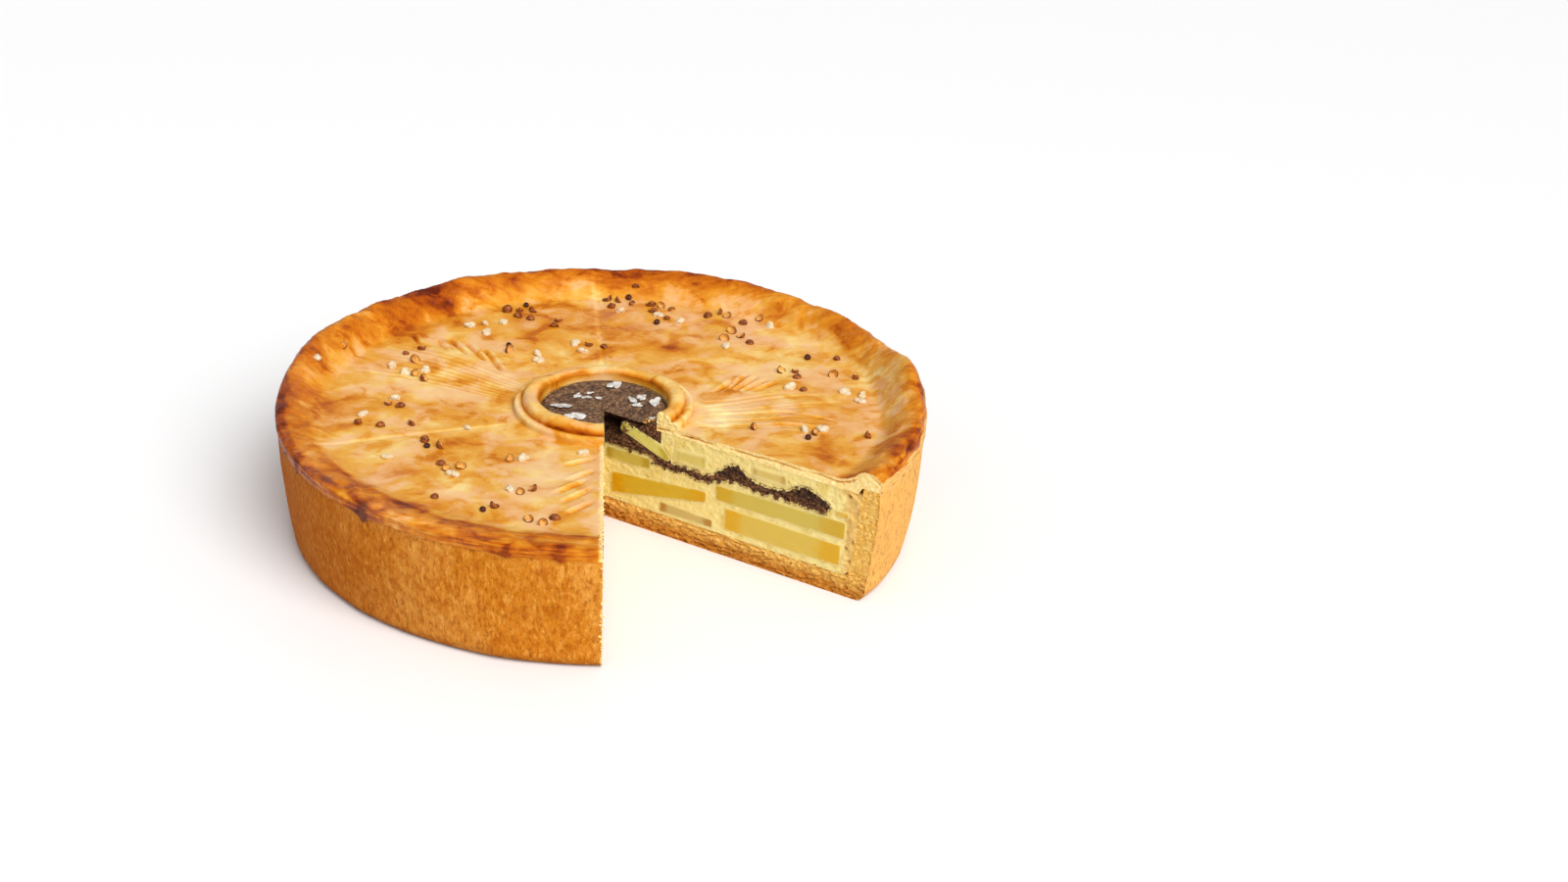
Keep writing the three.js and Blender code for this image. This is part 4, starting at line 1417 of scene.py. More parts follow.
@dataclass
class Filling:
    """Potato slices, cream and dark stuffing, each swept from cut to cut and bent alike."""

    floor: float = 8.5
    ceiling: float = 42.2
    collar_radius: float = 26.2
    plug_radius: float = 23.4
    layer_start: float = 31.0
    layer_end: float = 98.0
    core_floor: float = 31.3
    crumbs: int = 420
    stations: int = 30
    collar_number: int = 9
    collar_blur: float = 0.7
    slices: tuple[Slice, ...] = (
        Slice("potato_core", (1.5, 25, 29.8), (21.8, 25.4, 30.1), "cab24e", "b6962e"),
        Slice("potato_middle_outer", (51, 21.8, 28.2), (106.5, 22.2, 29.5), "c8b04c", "c8a024"),
        Slice("potato_low_inner", (4, 11, 20), (47, 19, 24), "cea92a", "d09c08"),
        Slice("potato_low_small", (26, 9.6, 14), (50, 9.8, 13.2), "c6aa62", "ae7e2a"),
        Slice("potato_low_outer", (55, 10.8, 20), (105, 11.2, 20), "d2b248", "d4a20e"),
        Slice("potato_top_inner", (32.5, 32, 37.6), (47, 32.2, 38.4), "d4c06c", "c4b052", 2.4),
        Slice("potato_top_outer", (66, 36, 40.4), (81.5, 36, 40.8), "d3b86a", "bc9846", 2.0),
        Slice("potato_sliver", (102, 30.7, 33.2), (107.6, 30.9, 33.6), "d8ae46", "c48e22"),
    )
    collar: tuple[tuple[float, float], ...] = (
        (7.8, 38.3), (22, 33.1), (29.2, 31), (30.4, 31.6), (30.2, 33.4), (26, 37.2), (10.2, 42), (8.4, 41.2),
    )

    def drift(self, points: Array, azimuths: Array) -> Array:
        """Bends a section on its way round, but not at the right cut, the axis, base, wall or lid.

        Args:
            points: Radius and height of the section's points at the right cut.
            azimuths: Stations.

        Returns:
            Radius and height by station and point.
        """
        r, z = points[:, 0], points[:, 1]
        way = ((azimuths - RIGHT_CUT) / (LEFT_CUT - RIGHT_CUT))[:, None]
        ceiling = self.ceiling - 0.35
        by_height = np.sin(math.pi * np.clip((z - 9) / (ceiling - 9), 0, 1))
        by_radius = np.sin(math.pi * np.clip(r / 108, 0, 1))
        radius = r + 5 * np.sin(4.1 * way) * by_radius * (1 - ease(z, 20, 40))
        height = z + 2.2 * np.sin(5.5 * way) * by_height * ease(r, 0, 60)
        return np.stack([radius, height], axis=-1)

    def lower(self, r: Array) -> Array:
        """Underside of the dark layer."""
        height = 27.9 + 0.3 * bell(r, 37, 6) + 2.4 * ease(r, 47, 53)
        return height + 1.4 * bell(r, 60, 4) + 0.4 * bell(r, 82, 12)

    def upper(self, r: Array) -> Array:
        """Upper side of the dark layer."""
        height = 30.4 + 0.3 * bell(r, 37, 6) + 2.9 * ease(r, 47, 53)
        return height + 4.7 * bell(r, 59, 5.5) + 4.6 * bell(r, 90, 8)

    def dark_outline(self) -> tuple[Array, int]:
        """Ragged section of the dark stuffing.

        Returns:
            Its points, and how many of them border on the cream.
        """
        radii = np.linspace(self.layer_start, self.layer_end, 60)
        low, high = self.lower(radii), self.upper(radii)
        corners = [[0, self.core_floor], [22.3, self.core_floor], [23.4, 28.4], [radii[0], low[0]]]
        core = densify(np.array(corners), 0.7)
        core = core[: 1 + next(k for k, p in enumerate(core) if np.allclose(p, (radii[0], low[0])))]
        tip = np.array([[self.layer_end + 1.6, (low[-1] + high[-1]) / 2 + 0.6]])
        layer = np.concatenate([
            core[:-1], np.stack([radii, low], -1), tip, np.stack([radii[::-1], high[::-1]], -1),
        ])
        layer = densify(layer, 0.5)[: -int(np.hypot(*(layer[0] - layer[-1])) / 0.5)]
        room = self._collar_room()
        ceiling = self.ceiling - 0.1
        plug = np.array([
            *room[[2, 1, 0, 7, 6, 5]], [self.collar_radius, ceiling], [self.plug_radius, ceiling],
            [self.plug_radius, 44.9], [0, 44.9],
        ])
        ragged = Unevenness(71).fractal(layer[:, 0] / 2.6, layer[:, 1] / 2.6, layers=4, gain=0.75)
        free = ease(layer[:, 0], 23.5, 33)[:, None]
        layer = layer + outward(layer) * 0.9 * ragged[:, None] * free
        # The outline runs on from the plug to the layer, so most of the plug's closing edge goes.
        closing_points = 60
        return np.concatenate([layer, densify(plug, 0.9)[:-closing_points]]), len(layer)

    def _collar_room(self) -> Array:
        """Outline that the other fillings leave free round the collar."""
        collar = np.array(self.collar)
        return collar + outward(collar) * 0.3

    def _sweep(self, sections: Sequence[Array], face: CutFace, paint: Paint) -> Sweep:
        """Sweep of an outline and its holes, bent on their way round."""
        return Sweep(stations(self.stations), lambda a: [self.drift(s, a) for s in sections], face, paint)

    def build_potatoes(self) -> None:
        """Builds every potato slice."""
        for number, piece in enumerate(self.slices):
            finish = PotatoFinish(piece.node, piece.pale, piece.deep)
            self._build_slice(number, piece.node, piece.outline(), finish, piece.blur)
        collar = uneven_slice(np.array(self.collar))
        finish = PotatoFinish("potato_collar", "dccf70", "b9a636")
        self._build_slice(self.collar_number, "potato_collar", collar, finish, self.collar_blur)

    def _build_slice(self, number: int, node: str, outline: Array, finish: PotatoFinish, blur: float) -> None:
        """Builds one potato slice.

        Args:
            number: Its place in the filling, which seeds its relief.
            node: CAD node that it stands for.
            outline: Its section at the right cut.
            finish: Its finish.
            blur: How wide its edge blurs into the cream.
        """
        low, high = outline[:, 0].min(), outline[:, 0].max()

        def paint(radius: Array, azimuth: Array, height: Array) -> dict[str, Array]:
            """Painted values: place, how near an end and how near the edge."""
            ends = np.minimum(radius - low, 0.8 * (high - radius)) / (high - low)
            border = self.drift(outline, azimuth.ravel()[:1])[0]
            on_cut = radius.ndim == 1
            depth = nearest(np.stack([radius, height], axis=-1), border) if on_cut else 0 * radius
            edge = 1 - ease(depth, 0, blur)
            return {**way_paint(radius, azimuth, height), "end": 1 - ease(ends, 0.02, 0.26), "edge": edge}

        def knife_marks(r: Array, z: Array) -> Array:
            """Relief of the cut: faint knife marks."""
            return 0.12 + 0.16 * Unevenness(62 + number).fractal(r / 6, z / 2, layers=2)

        face = CutFace(knife_marks, spacing=0.8, finish_number=0, sink=-0.12)
        name = f"slice_{node.removeprefix('potato_')}"
        self._sweep([outline], face, paint).place(name, [finish.make()], "potato", node)

    def build_stuffing(self, finish: Material) -> None:
        """Builds the dark layer, its core and the plug under the disc."""
        outline = self.dark_outline()[0]

        def crumbs(r: Array, z: Array) -> Array:
            """Relief of the cut: crumbs."""
            lumps = Unevenness(72).fractal(r / 2.6, z / 2.2, layers=3, gain=0.7)
            return 0.15 + 1.1 * lumps

        def paint(radius: Array, azimuth: Array, height: Array) -> dict[str, Array]:
            """Painted values: place, and how dark: painted shade between crumbs, and the darker inside of the
            layer's humps.
            """
            # Painted shade where the crumbs dip.
            shade_and_dark = ease(-Unevenness(72).fractal(radius / 2.6, height / 2.2, layers=3, gain=0.7), 0.05, 0.5)
            in_hump = ease(height - self.lower(radius), 2.0, 4.0) * ease(radius, 40, 50)
            dark = 0.45 * shade_and_dark + 0.85 * in_hump
            return {**way_paint(radius, azimuth, height), "shade_and_dark": np.clip(dark, 0, 1)}

        face = CutFace(crumbs, spacing=0.45, finish_number=0)
        sweep = self._sweep([outline], face, paint)
        sweep.place("stuffing_layer", [finish], "dark_stuffing", "dark_stuffing")

    def build_crumbs(self, finish: Material) -> None:
        """Builds loose crumbs on the dark stuffing and along its edges, at the right cut."""
        outline, along = self.dark_outline()
        crumbs = bmesh.new()
        away = outward(outline)
        for k in range(self.crumbs):
            number = int(along * scattered(k, FIRST_STEP))
            stray = 1.6 * scattered(k, SECOND_STEP) ** 3 - 0.6
            if k % 4 == 0:
                self._add_crumb(crumbs, outline[number] + away[number] * stray, k)
            radius = self.layer_end * scattered(k, RADIUS_STEP)
            place = np.array([radius, 28 + 17 * scattered(k, HEIGHT_STEP)])
            if inside_loops(place[None], [outline])[0]:
                self._add_crumb(crumbs, place, k + 1)
        place_piece(finish_mesh("stuffing_crumbs", crumbs, [finish]), [])

    @staticmethod
    def _add_crumb(mesh: Mesh, place: Array, number: int) -> None:
        """Adds one crumb on the right cut.

        Args:
            mesh: Mesh that receives it.
            place: Its radius and height.
            number: Number of the crumb, which sets its size and seeds its shape.
        """
        size = 0.3 + 0.7 * scattered(number, SIZE_STEP) ** 2
        centre = polar(np.array(place[0]), RIGHT_CUT, np.array(place[1])) + 0.25 * Cut.RIGHT.out
        turned = Matrix.Translation(centre) @ Matrix.Rotation(number, 4, "Z")
        half = (size, 0.85 * size, 0.75 * size)
        add_lump(mesh, turned, half, corners=12, number=number, rough=0.4)

    def build_cream(self, case: PastryCase, finish: Material) -> None:
        """Builds the cream, which fills what the potato and the stuffing leave of the case."""
        floor, ceiling = self.floor + HAIRLINE, self.ceiling - HAIRLINE
        wall = np.linspace(floor + 2, ceiling, 40)
        room = self._collar_room()
        dark, layer_points = self.dark_outline()
        along = (dark - outward(dark) * LAP)[:layer_points][::-1]
        along[-1] = (0, self.core_floor + LAP)
        head = np.array([[0, floor], [case.inner(floor) - 2, floor]])
        inner_wall = np.stack([case.inner(wall) - HAIRLINE, wall], axis=-1)
        beside = self.collar_radius - LAP
        by_collar = np.array([[beside, ceiling], [beside, 37.2], room[4], room[3]])
        outline = densify(np.concatenate([head, inner_wall, by_collar, along]), 0.9)
        loops = [outline]
        for piece in self.slices:
            hole = piece.outline()
            loops.append((hole - outward(hole) * LAP)[::-1])

        def holes(r: Array, z: Array) -> Array:
            """How deep in a hole points lie, from 0 to 1."""
            return bell(Unevenness(82).at(r / 3.2, z / 2.6), 0.62, 0.12) * (0.25 + 0.75 * ease(r, 70, 104))

        def curds(r: Array, z: Array) -> Array:
            """Relief of the cut: soft curds with holes."""
            soft = Unevenness(81).fractal(r / 4.5, z / 3, layers=3, gain=0.6)
            return (0.45 + 0.5 * ease(r, 96, 106)) * soft - 1.1 * holes(r, z) - 0.12

        def paint(radius: Array, azimuth: Array, height: Array) -> dict[str, Array]:
            """Painted values: place, how near the wall and the dark stuffing, and painted shade in the holes.
            """
            by_wall = ease(radius, 100, 110) + 0.35 * ease(height, 38, 42)
            border = self.drift(dark[:layer_points], azimuth.ravel()[:1])[0]
            on_cut = radius.ndim == 1
            away = nearest(np.stack([radius, height], axis=-1), border) if on_cut else 2.0 + 0 * radius
            stain = 1 - ease(away, 0, 2.0)
            shares = {"by_wall": by_wall, "hole": holes(radius, height), "stain": stain}
            return {**way_paint(radius, azimuth, height), **shares}

        face = CutFace(curds, spacing=0.6, finish_number=0)
        self._sweep(loops, face, paint).place("set_cream", [finish], "cream", "cream")


@dataclass
class StuffingDisc(SweptPart):
    """Crumbly top of the dark stuffing, inside the ring."""

    node: str = "dark_stuffing"
    piece: str = "stuffing_disc"
    slot: str = "dark_stuffing"
    spacing: float = 0.45
    radius: float = 23.55
    top: float = 46.0
    foot: float = 43.4
    stations: int = 260

    def height(self, r: Array, a: Array) -> Array:
        """Height of the crumbly top."""
        x, y = r * np.cos(a), r * np.sin(a)
        crumbs = 0.55 * Unevenness(91).fractal(x / 3.4, y / 3.4, layers=4, gain=0.6)
        dish = 0.5 * ease(r, 8, 22) - 0.4
        edge = 1.6 * ease(r, self.radius - 1.8, self.radius)
        from_right = r * np.sin(np.clip(a - RIGHT_CUT, 0, math.pi / 2))
        broken = 2.2 * (1 - ease(from_right + 1.2 * Unevenness(92).at(x / 5, y / 5), 0.5, 6.0))
        return self.top + crumbs + dish - edge - broken

    def loops(self, azimuths: Array) -> list[Array]:
        """Section at every station."""
        azimuth = azimuths[:, None]
        under = np.linspace(0, self.radius, 12)
        over = np.linspace(self.radius, 0, 62)
        low = self.foot + 0 * under + 0 * azimuth
        high = self.height(over + 0 * azimuth, azimuth + 0 * over)
        radius = np.concatenate([under, over]) + 0 * azimuth
        return [np.stack([radius, np.concatenate([low, np.maximum(high, self.foot + 0.2)], axis=1)], axis=-1)]

    def paint(self, radius: Array, azimuth: Array, height: Array) -> dict[str, Array]:
        """Painted values: place, and painted shade between crumbs."""
        x, y = radius * np.cos(azimuth), radius * np.sin(azimuth)
        # Painted shade where the crumbs dip.
        deep = ease(-Unevenness(91).fractal(x / 3.4, y / 3.4, layers=4, gain=0.6), 0.0, 0.6)
        return {**way_paint(radius, azimuth, height), "shade_and_dark": deep}

    def torn(self, r: Array, z: Array) -> Array:
        """Relief of the cut: crumbs."""
        return 0.9 * Unevenness(93).fractal(r / 2.4, z / 2.0, layers=3, gain=0.7)


@dataclass(frozen=True)
class Pinch:
    """Pinch of grains strewn on the lid: where it lies, how wide it spreads, and its counts."""

    x: float
    y: float
    spread: float
    husks: int
    crystals: int


@dataclass(frozen=True)
class Flake:
    """Salt flake on the disc: where it lies, its length, width and turn."""

    x: float
    y: float
    length: float
    width: float
    turn: float


class GrainKind(Enum):
    """Kinds of grain on the lid, each with how far its middle stands above the lid."""

    HUSK = 1.1
    DOME = -0.1
    SEED = 0.7
    CRYSTAL = 0.35


@dataclass(frozen=True)
class Grain:
    """One grain: its kind, its place on the lid, how it is turned, and its size against the usual one."""

    kind: GrainKind
    x: float
    y: float
    turn: float
    scale: float


def add_lump(mesh: Mesh, place: Matrix, half: Sequence[float], corners: int, number: int,
             rough: float) -> None:
    """Adds a faceted lump: the hull of points spread over an ellipsoid.

    Args:
        mesh: Mesh that receives it.
        place: Its placing.
        half: Half its length, width and height.
        corners: How many points it has.
        number: Number of the lump, which seeds its shape.
        rough: How far its points stray from the ellipsoid.
    """
    order = np.arange(corners)
    up = 1 - 2 * (order + 0.5) / corners
    turn = order * GOLDEN_ANGLE + number
    flat = np.sqrt(1 - up * up)
    grow = 1 + rough * Unevenness(400 + number).at(order * 0.73, up)
    ways = np.stack([flat * np.cos(turn), flat * np.sin(turn), up], axis=-1) * grow[:, None] * np.array(half)
    points = [mesh.verts.new(place @ Vector(way)) for way in ways]
    made = bmesh.ops.convex_hull(mesh, input=points)
    loose = [v for v in made["geom_interior"] if isinstance(v, bmesh.types.BMVert)]
    bmesh.ops.delete(mesh, geom=loose, context="VERTS")


def finish_mesh(name: str, mesh: Mesh, finishes: Sequence[Material]) -> Piece:
    """Turns a bmesh in millimetres into a piece in metres."""
    bmesh.ops.remove_doubles(mesh, verts=mesh.verts, dist=1e-4)
    bmesh.ops.recalc_face_normals(mesh, faces=mesh.faces)
    bmesh.ops.scale(mesh, vec=(MM, MM, MM), verts=mesh.verts)
    data = bpy.data.meshes.new(name)
    mesh.to_mesh(data)
    mesh.free()
    for finish in finishes:
        data.materials.append(finish)
    return add_object(name, data)


@dataclass(frozen=True)
class Cluster:
    """How a crystal is grown together: shares of its size, corners of each lump and their roughness."""

    aside: float
    largest: float
    lessening: float
    corners: int
    rough: float
    lumps: int = 4

    def add_to(self, mesh: Mesh, place: Matrix, half: Sequence[float], number: int) -> None:
        """Adds a large lump and smaller ones beside it.

        Args:
            mesh: Mesh that receives them.
            place: Placing of the crystal.
            half: Half its length, width and height.
            number: Number of the crystal, which seeds its shape.
        """
        for part in range(self.lumps):
            turn = 2.4 * part + number
            x, y = half[0] * math.cos(turn), half[1] * math.sin(turn)
            moved = place @ Matrix.Translation((self.aside * x, self.aside * y, 0.1 * part))
            scaled = moved @ Matrix.Scale(self.largest - self.lessening * part, 4)
            add_lump(mesh, scaled, half, self.corners, 7 * number + part, self.rough)


@dataclass
class Strewing:
    """Pepper husks, seeds and coarse salt strewn on the lid, and salt flakes on the disc."""

    lid: PastryLid
    disc: StuffingDisc
    husk_radius: float = 2.0
    seed_half: tuple[float, float, float] = (1.5, 1.3, 1.2)
    crystal: tuple[float, float, float] = (2.1, 1.8, 1.5)
    flake_half_height: float = 0.35
    flake_stands: float = 0.4
    round_crystal: Cluster = Cluster(aside=0.45, largest=0.95, lessening=0.2, corners=30, rough=0.22)
    jagged_flake: Cluster = Cluster(aside=0.6, largest=0.85, lessening=0.15, corners=18, rough=0.4)
    husk_points: int = 14
    husk_rings: int = 6
    husk_thinness: float = 0.85
    order: tuple[GrainKind, ...] = (
        GrainKind.HUSK, GrainKind.DOME, GrainKind.HUSK, GrainKind.HUSK,
        GrainKind.DOME, GrainKind.SEED, GrainKind.HUSK,
    )
    flakes: tuple[Flake, ...] = (
        Flake(-16, -3.5, 7, 5.5, 0.1), Flake(-9.5, -12, 7, 4, -0.25), Flake(-10.3, 7, 4, 2.2, 1.3),
        Flake(-6.8, 6.2, 3.6, 2.4, 0.2), Flake(-6, 10.2, 2.6, 1.8, 0.4),
        Flake(-2.5, 5.6, 2.6, 1.8, -0.2), Flake(2.6, 17.4, 6.5, 4.2, 1.2), Flake(10, 5, 4.6, 2.4, -1.1),
        Flake(13.8, 7.4, 4.6, 3, 1), Flake(12.8, 0.4, 3.6, 2.8, 0.3), Flake(18.8, 4.2, 6.5, 3.6, 1.25),
        Flake(18.8, -8, 3, 2, 0.2),
    )
    pinches: tuple[Pinch, ...] = (
        Pinch(-40, 84, 8, 6, 0), Pinch(-51, 68, 9, 0, 4), Pinch(-24, 76, 5, 2, 0),
        Pinch(-40, 49, 4, 2, 0), Pinch(-28, 43, 4.5, 0, 2), Pinch(-10, 54, 7, 2, 2),
        Pinch(-2, 98, 8, 4, 1), Pinch(4, 106, 4, 2, 0), Pinch(15, 95, 7, 4, 1), Pinch(18, 83, 6, 2, 1),
        Pinch(38, 91, 5, 3, 0), Pinch(54, 85, 7, 2, 1), Pinch(47, 67, 9, 4, 1), Pinch(83, 50, 9, 2, 0),
        Pinch(69, 37, 5, 3, 0), Pinch(91, 33, 7, 2, 0), Pinch(72, 21, 4, 1, 1), Pinch(94, 18, 6, 0, 3),
        Pinch(56, -14, 1, 1, 0), Pinch(77, -17, 6, 2, 2), Pinch(98, -18, 1, 1, 0),
        Pinch(-77, 37, 8, 3, 0), Pinch(-80, 25, 6, 0, 2), Pinch(-71, 19, 5.5, 2, 1),
        Pinch(-102, 33, 1, 1, 0), Pinch(-77, -8, 5, 2, 1), Pinch(-109, 16, 1, 0, 1),
        Pinch(-84, -25, 8, 2, 1), Pinch(-67, -24, 1, 1, 0), Pinch(-47, -24, 1, 0, 1),
        Pinch(-58, -42, 5, 3, 0), Pinch(-72, -53, 1, 0, 1), Pinch(-49, -59, 6, 3, 1),
        Pinch(-28, -48, 4.2, 1, 1), Pinch(-51, -82, 1, 1, 0), Pinch(-22, -75, 5, 2, 1),
        Pinch(-33, -89, 4, 2, 0), Pinch(-12, -97, 6, 3, 0), Pinch(-4, -40, 1, 0, 1),
    )

    def grains(self) -> list[Grain]:
        """Every grain on the lid, spiralling out from the middle of its pinch by the golden angle."""
        found = []
        for pinch in self.pinches:
            count = pinch.husks + pinch.crystals
            for k in range(count):
                reach = pinch.spread * math.sqrt((k + 0.5) / count)
                turn = math.atan2(pinch.y, pinch.x) + k * GOLDEN_ANGLE
                is_crystal = (k + 1) * pinch.crystals // count > k * pinch.crystals // count
                kind = GrainKind.CRYSTAL if is_crystal else self.order[len(found) % len(self.order)]
                x, y = pinch.x + reach * math.cos(turn), pinch.y + reach * math.sin(turn)
                found.append(Grain(kind, x, y, turn * 3.7, 0.85 + 0.3 * scattered(k, GRAIN_STEP)))
        return found

    def resting(self, grain: Grain) -> Matrix:
        """Placing of a grain on the lid, in millimetres."""
        r, a = np.hypot(grain.x, grain.y), whole_turn(np.arctan2(grain.y, grain.x))
        height = float(self.lid.top(np.array([r]), np.array([a]))[0])
        over = math.pi if grain.kind is GrainKind.DOME else 0.0
        tilt = Matrix.Rotation(over + 0.95 * math.sin(grain.turn * 1.7), 4, "X")
        place = Matrix.Translation((grain.x, grain.y, height + grain.kind.value))
        return place @ Matrix.Rotation(grain.turn, 4, "Z") @ tilt @ Matrix.Scale(grain.scale, 4)

    def build(self, husk: Material, lining: Material, seed: Material,
              salt: Material, clear_flake: Material) -> None:
        """Builds the grains, one piece for each kind, and the flakes on the disc."""
        shells, seeds, crystals = bmesh.new(), bmesh.new(), bmesh.new()
        for number, grain in enumerate(self.grains()):
            place = self.resting(grain)
            if grain.kind is GrainKind.SEED:
                add_lump(seeds, place, self.seed_half, corners=60, number=number, rough=0.08)
            elif grain.kind is GrainKind.CRYSTAL:
                self.round_crystal.add_to(crystals, place, self.crystal, number)
            else:
                self._add_husk(shells, place, number)
        flakes = bmesh.new()
        for number, flake in enumerate(self.flakes):
            half = (flake.length / 2, flake.width / 2, self.flake_half_height)
            self.jagged_flake.add_to(flakes, self._on_disc(flake), half, number)
        for name, mesh, finishes, slot in (
            ("pepper_husks", shells, [husk, lining], "glazed_pastry"),
            ("pepper_seeds", seeds, [seed], "glazed_pastry"),
            ("salt_crystals", crystals, [salt], "glazed_pastry"),
            ("salt_flakes", flakes, [clear_flake], "dark_stuffing"),
        ):
            place_piece(finish_mesh(name, mesh, finishes), [])

    def _on_disc(self, flake: Flake) -> Matrix:
        """Placing of a salt flake on the disc."""
        r, azimuth = np.hypot(flake.x, flake.y), whole_turn(np.arctan2(flake.y, flake.x))
        height = float(self.disc.height(np.array([r]), np.array([azimuth]))[0])
        tilt = Matrix.Rotation(0.2 * math.sin(5 * azimuth), 4, "X")
        turn = Matrix.Rotation(flake.turn, 4, "Z")
        return Matrix.Translation((flake.x, flake.y, height + self.flake_stands)) @ turn @ tilt

    def _add_husk(self, mesh: Mesh, place: Matrix, number: int) -> None:
        """Adds a thin cup that gapes on one side.

        Args:
            mesh: Mesh that receives it.
            place: Its placing.
            number: Number of the grain, which seeds its shape.
        """
        rings = self.husk_rings
        outer = self._husk_rows(mesh, place, number, 1.0)
        inner = self._husk_rows(mesh, place, number, self.husk_thinness)
        for rows, is_inner in ((outer, False), (inner, True)):
            for ring in range(rings):
                self._add_band(mesh, rows[ring], rows[ring + 1], int(is_inner), is_inner)
        self._add_band(mesh, outer[rings], inner[rings], 0, False)

    def _husk_rows(self, mesh: Mesh, place: Matrix, number: int, side: float) -> list[Ring]:
        """Adds the points of one side of a cup.

        Args:
            mesh: Mesh that receives them.
            place: Placing of the cup.
            number: Number of the grain, which seeds its shape.
            side: Share of the cup's radius, 1 for its outer side.

        Returns:
            Rings of points, from the bottom to the brim.
        """
        noise = Unevenness(200 + number)
        rows = []
        for ring in range(self.husk_rings + 1):
            row = []
            for k in range(self.husk_points):
                turn = 2 * math.pi * k / self.husk_points
                brim = 1.6 + 0.35 * math.sin(turn + number) + 0.15 * math.sin(3 * turn + 2 * number)
                down = math.pi - (math.pi - brim) * ring / self.husk_rings
                gape = 1.0 - 0.3 * (ring / self.husk_rings) ** 2 * math.cos(turn)
                wobble = float(noise.at(np.array(math.cos(turn)), np.array(math.sin(turn)), down))
                radius = self.husk_radius * side * (1 + 0.1 * wobble)
                bent = down * gape + math.pi * (1 - gape)
                flat = radius * math.sin(bent)
                point = Vector((flat * math.cos(turn), flat * math.sin(turn) * 0.85, radius * math.cos(bent)))
                row.append(mesh.verts.new(place @ point))
            rows.append(row)
        return rows

    @staticmethod
    def _add_band(mesh: Mesh, low: Ring, high: Ring, material: int, flip: bool) -> None:
        """Adds a band of faces between two rings of points."""
        for k, start in enumerate(low):
            corners = [start, low[(k + 1) % len(low)], high[(k + 1) % len(high)], high[k]]
            face = mesh.faces.new(corners[::-1] if flip else corners)
            face.material_index = material
            face.smooth = True


@dataclass
class PastryCrumbs:
    """Loose crumbs of pastry: pale ones along the left cut, golden ones in the broken corner of the disc."""

    lid: PastryLid
    case: PastryCase
    disc: StuffingDisc
    on_lid: int = 90
    on_wall: int = 60
    in_corner: int = 18
    corner: tuple[float, float] = (18.2, -10.6)
    corner_spread: float = 3.4
    small: float = 0.35
    large: float = 1.0

    def _by_left_cut(self) -> list[Array]:
        """Places along the lid's edge and up the wall's edge at the left cut."""
        found = []
        for k in range(self.on_lid):
            radius = np.array(36 + 82 * scattered(k, FIRST_STEP))
            azimuth = np.array(LEFT_CUT - 1.2 * scattered(k, SECOND_STEP) / radius)
            found.append(polar(radius, azimuth, self.lid.top(radius, azimuth)))
        for k in range(self.on_wall):
            height = np.array(1.5 + 43 * scattered(k, FIRST_STEP))
            radius = self.case.outer(height) - 0.3
            found.append(polar(radius, LEFT_CUT - 0.9 * scattered(k, SECOND_STEP) / radius, height))
        return found

    def _in_corner(self) -> list[Array]:
        """Places in the corner between the disc and the ring, by the right cut."""
        found = []
        for k in range(self.in_corner):
            reach = self.corner_spread * math.sqrt((k + 0.5) / self.in_corner)
            x = self.corner[0] + reach * math.cos(k * GOLDEN_ANGLE)
            y = self.corner[1] + reach * math.sin(k * GOLDEN_ANGLE)
            radius, azimuth = np.hypot(x, y), np.arctan2(y, x)
            if azimuth > RIGHT_CUT and radius < self.disc.radius + 0.5:
                found.append(np.array([x, y, self.disc.height(radius, azimuth) + 0.5]))
        return found

    def build(self, pale: Material, golden: Material) -> None:
        """Builds both kinds of crumbs and sets them in place."""
        for name, places, scale, finish, slot in (
            ("pale_crumbs", self._by_left_cut(), 0.8, pale, "baked_pastry"),
            ("golden_crumbs", self._in_corner(), 1.2, golden, "ring_pastry"),
        ):
            crumbs = bmesh.new()
            for number, place in enumerate(places):
                size = scale * (self.small + (self.large - self.small) * scattered(number, SIZE_STEP) ** 2)
                turned = Matrix.Translation(place) @ Matrix.Rotation(number, 4, "Z")
                half = (size, 0.85 * size, 0.7 * size)
                add_lump(crumbs, turned, half, corners=16, number=number, rough=0.35)
            place_piece(finish_mesh(name, crumbs, [finish]), [])


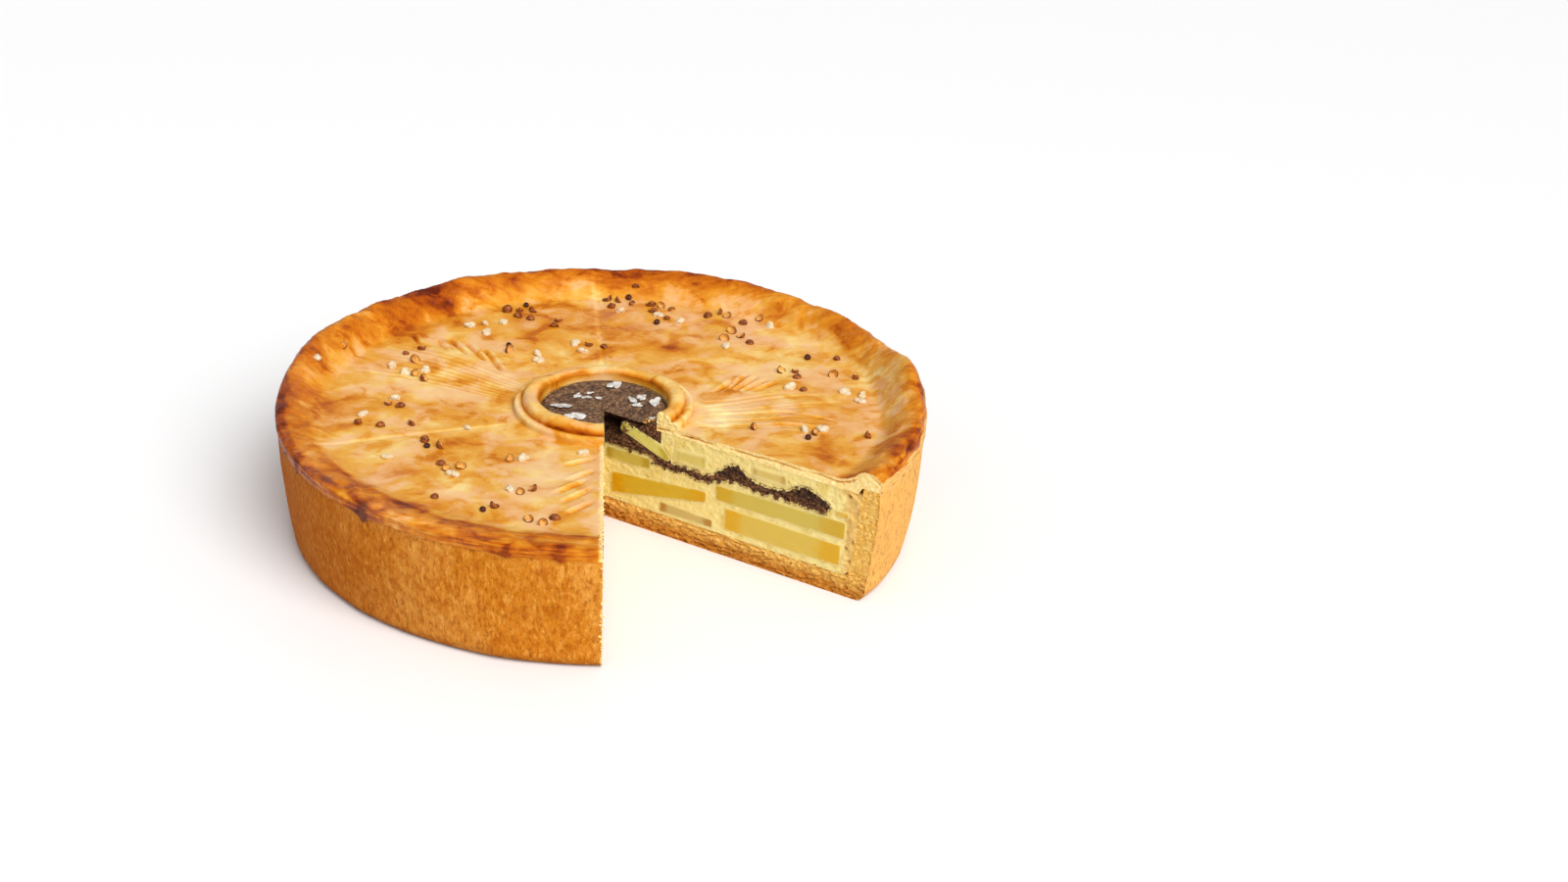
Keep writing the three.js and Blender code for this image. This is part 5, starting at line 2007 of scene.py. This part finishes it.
@dataclass
class Studio:
    """Pale floor, soft light and the camera."""

    lens: float = 58.67
    sensor: float = 36.0
    camera_place: tuple[float, float, float] = (67.61, -864.7, 443.41)
    right: tuple[float, float, float] = (0.99899, 0.01917, 0.04055)
    up: tuple[float, float, float] = (-0.04487, 0.42718, 0.90305)
    floor_half: float = 4000.0
    key_way: tuple[float, float, float] = (0.40, -0.60, 0.70)
    key_power: float = 3.1
    key_width: float = 42.0
    front_sky: float = 0.68
    back_sky: float = 0.36

    def build(self) -> None:
        """Builds the floor, the lights and the camera."""
        self._floor()
        self._key()
        self._sky()
        bpy.context.scene.view_settings.view_transform = "Standard"
        self._camera()

    def _sky(self) -> None:
        """Sets even white light all round, stronger from the front than from the back."""
        world = bpy.data.worlds.new("studio")
        world.use_nodes = True
        tree = world.node_tree
        way = tree.nodes.new("ShaderNodeTexCoord")
        split = tree.nodes.new("ShaderNodeSeparateXYZ")
        tree.links.new(way.outputs["Generated"], split.inputs[0])
        strength = tree.nodes.new("ShaderNodeMapRange")
        tree.links.new(split.outputs["Y"], strength.inputs["Value"])
        strength.inputs["From Min"].default_value = -1.0
        strength.inputs["From Max"].default_value = 1.0
        strength.inputs["To Min"].default_value = self.front_sky
        strength.inputs["To Max"].default_value = self.back_sky
        background = tree.nodes["Background"]
        background.inputs[0].default_value = (1.0, 1.0, 1.0, 1.0)
        tree.links.new(strength.outputs[0], background.inputs[1])
        bpy.context.scene.world = world

    def _floor(self) -> None:
        """Builds the pale floor."""
        half = self.floor_half * MM
        mesh = bpy.data.meshes.new("floor")
        corners = [(-half, -half, 0), (half, -half, 0), (half, half, 0), (-half, half, 0)]
        mesh.from_pydata(corners, [], [(0, 1, 2, 3)])
        graph = Graph("floor")
        graph.set(Base_Color=(0.9, 0.9, 0.9, 1.0), Roughness=0.35, Specular_IOR_Level=0.3)
        mesh.materials.append(graph.material)
        floor = add_object("floor", mesh)

    def _key(self) -> None:
        """Adds the broad soft light from the front right."""
        data = bpy.data.lights.new("key", "SUN")
        data.energy = self.key_power
        data.angle = math.radians(self.key_width)
        lamp = add_object("key", data)
        lamp.rotation_euler = (-Vector(self.key_way)).to_track_quat("-Z", "Y").to_euler()

    def _camera(self) -> None:
        """Adds the camera at the photograph's viewing angle."""
        data = bpy.data.cameras.new("camera")
        data.lens = self.lens
        data.sensor_width = self.sensor
        data.clip_end = 50.0
        camera = add_object("camera", data)
        right, up = Vector(self.right), Vector(self.up)
        turn = Matrix((right, up, right.cross(up))).transposed().to_4x4()
        camera.matrix_world = Matrix.Translation(Vector(self.camera_place) * MM) @ turn
        bpy.context.scene.camera = camera


def main() -> None:
    """Builds the pie's pieces in order, then the studio."""
    logging.basicConfig(level=logging.INFO, format="%(name)s: %(message)s")
    crust = CrustFinish().make()
    crumb = CrumbFinish("case crumb", "efc46e", "dda242", "b86c18", "86400a", depth=0.45).make()
    dough = CrumbFinish("lid crumb", "fae4a2", "f2d284", "d8943a", "a05c14", depth=0.2).make()
    case = PastryCase()
    case.build(crust, crumb)
    lid = PastryLid()
    lid.build(GlazeFinish("lid glaze").make(), dough)
    DoughRing().build(GlazeFinish("ring glaze").make(), dough)
    filling = Filling()
    filling.build_potatoes()
    filling.build_stuffing(StuffingFinish("stuffing cut", "b28252", "7e5030", "240f08").make())
    filling.build_crumbs(StuffingFinish("stuffing crumb", "a88052", "785230", "422412").make())
    filling.build_cream(case, CreamFinish().make())
    disc = StuffingDisc()
    disc.build(StuffingFinish("stuffing top", "b8946e", "8a6648", "463022").make())
    Strewing(lid, disc).build(
        GrainFinish("husk", "a35a24", "5e2a0e", roughness=0.5, lump=1.2).make(),
        GrainFinish("husk lining", "e2ae5c", "c08436", roughness=0.5, lump=1.2).make(),
        GrainFinish("seed", "5a2210", "2a0c06", roughness=0.4, lump=1.2).make(),
        GrainFinish("salt", "f8e8c8", "ecd0a0", roughness=0.35, lump=2.0, clear=0.3).make(),
        GrainFinish("flake", "f0ece6", "c4beb6", roughness=0.3, lump=2.0, clear=0.15).make(),
    )
    PastryCrumbs(lid, case, disc).build(
        GrainFinish("pale crumb", "f8e2a4", "e6bc68", roughness=0.8, lump=1.0).make(),
        GrainFinish("golden crumb", "f0c878", "a8641c", roughness=0.7, lump=1.4).make(),
    )
    Studio().build()


if __name__ == "__main__":
    main()
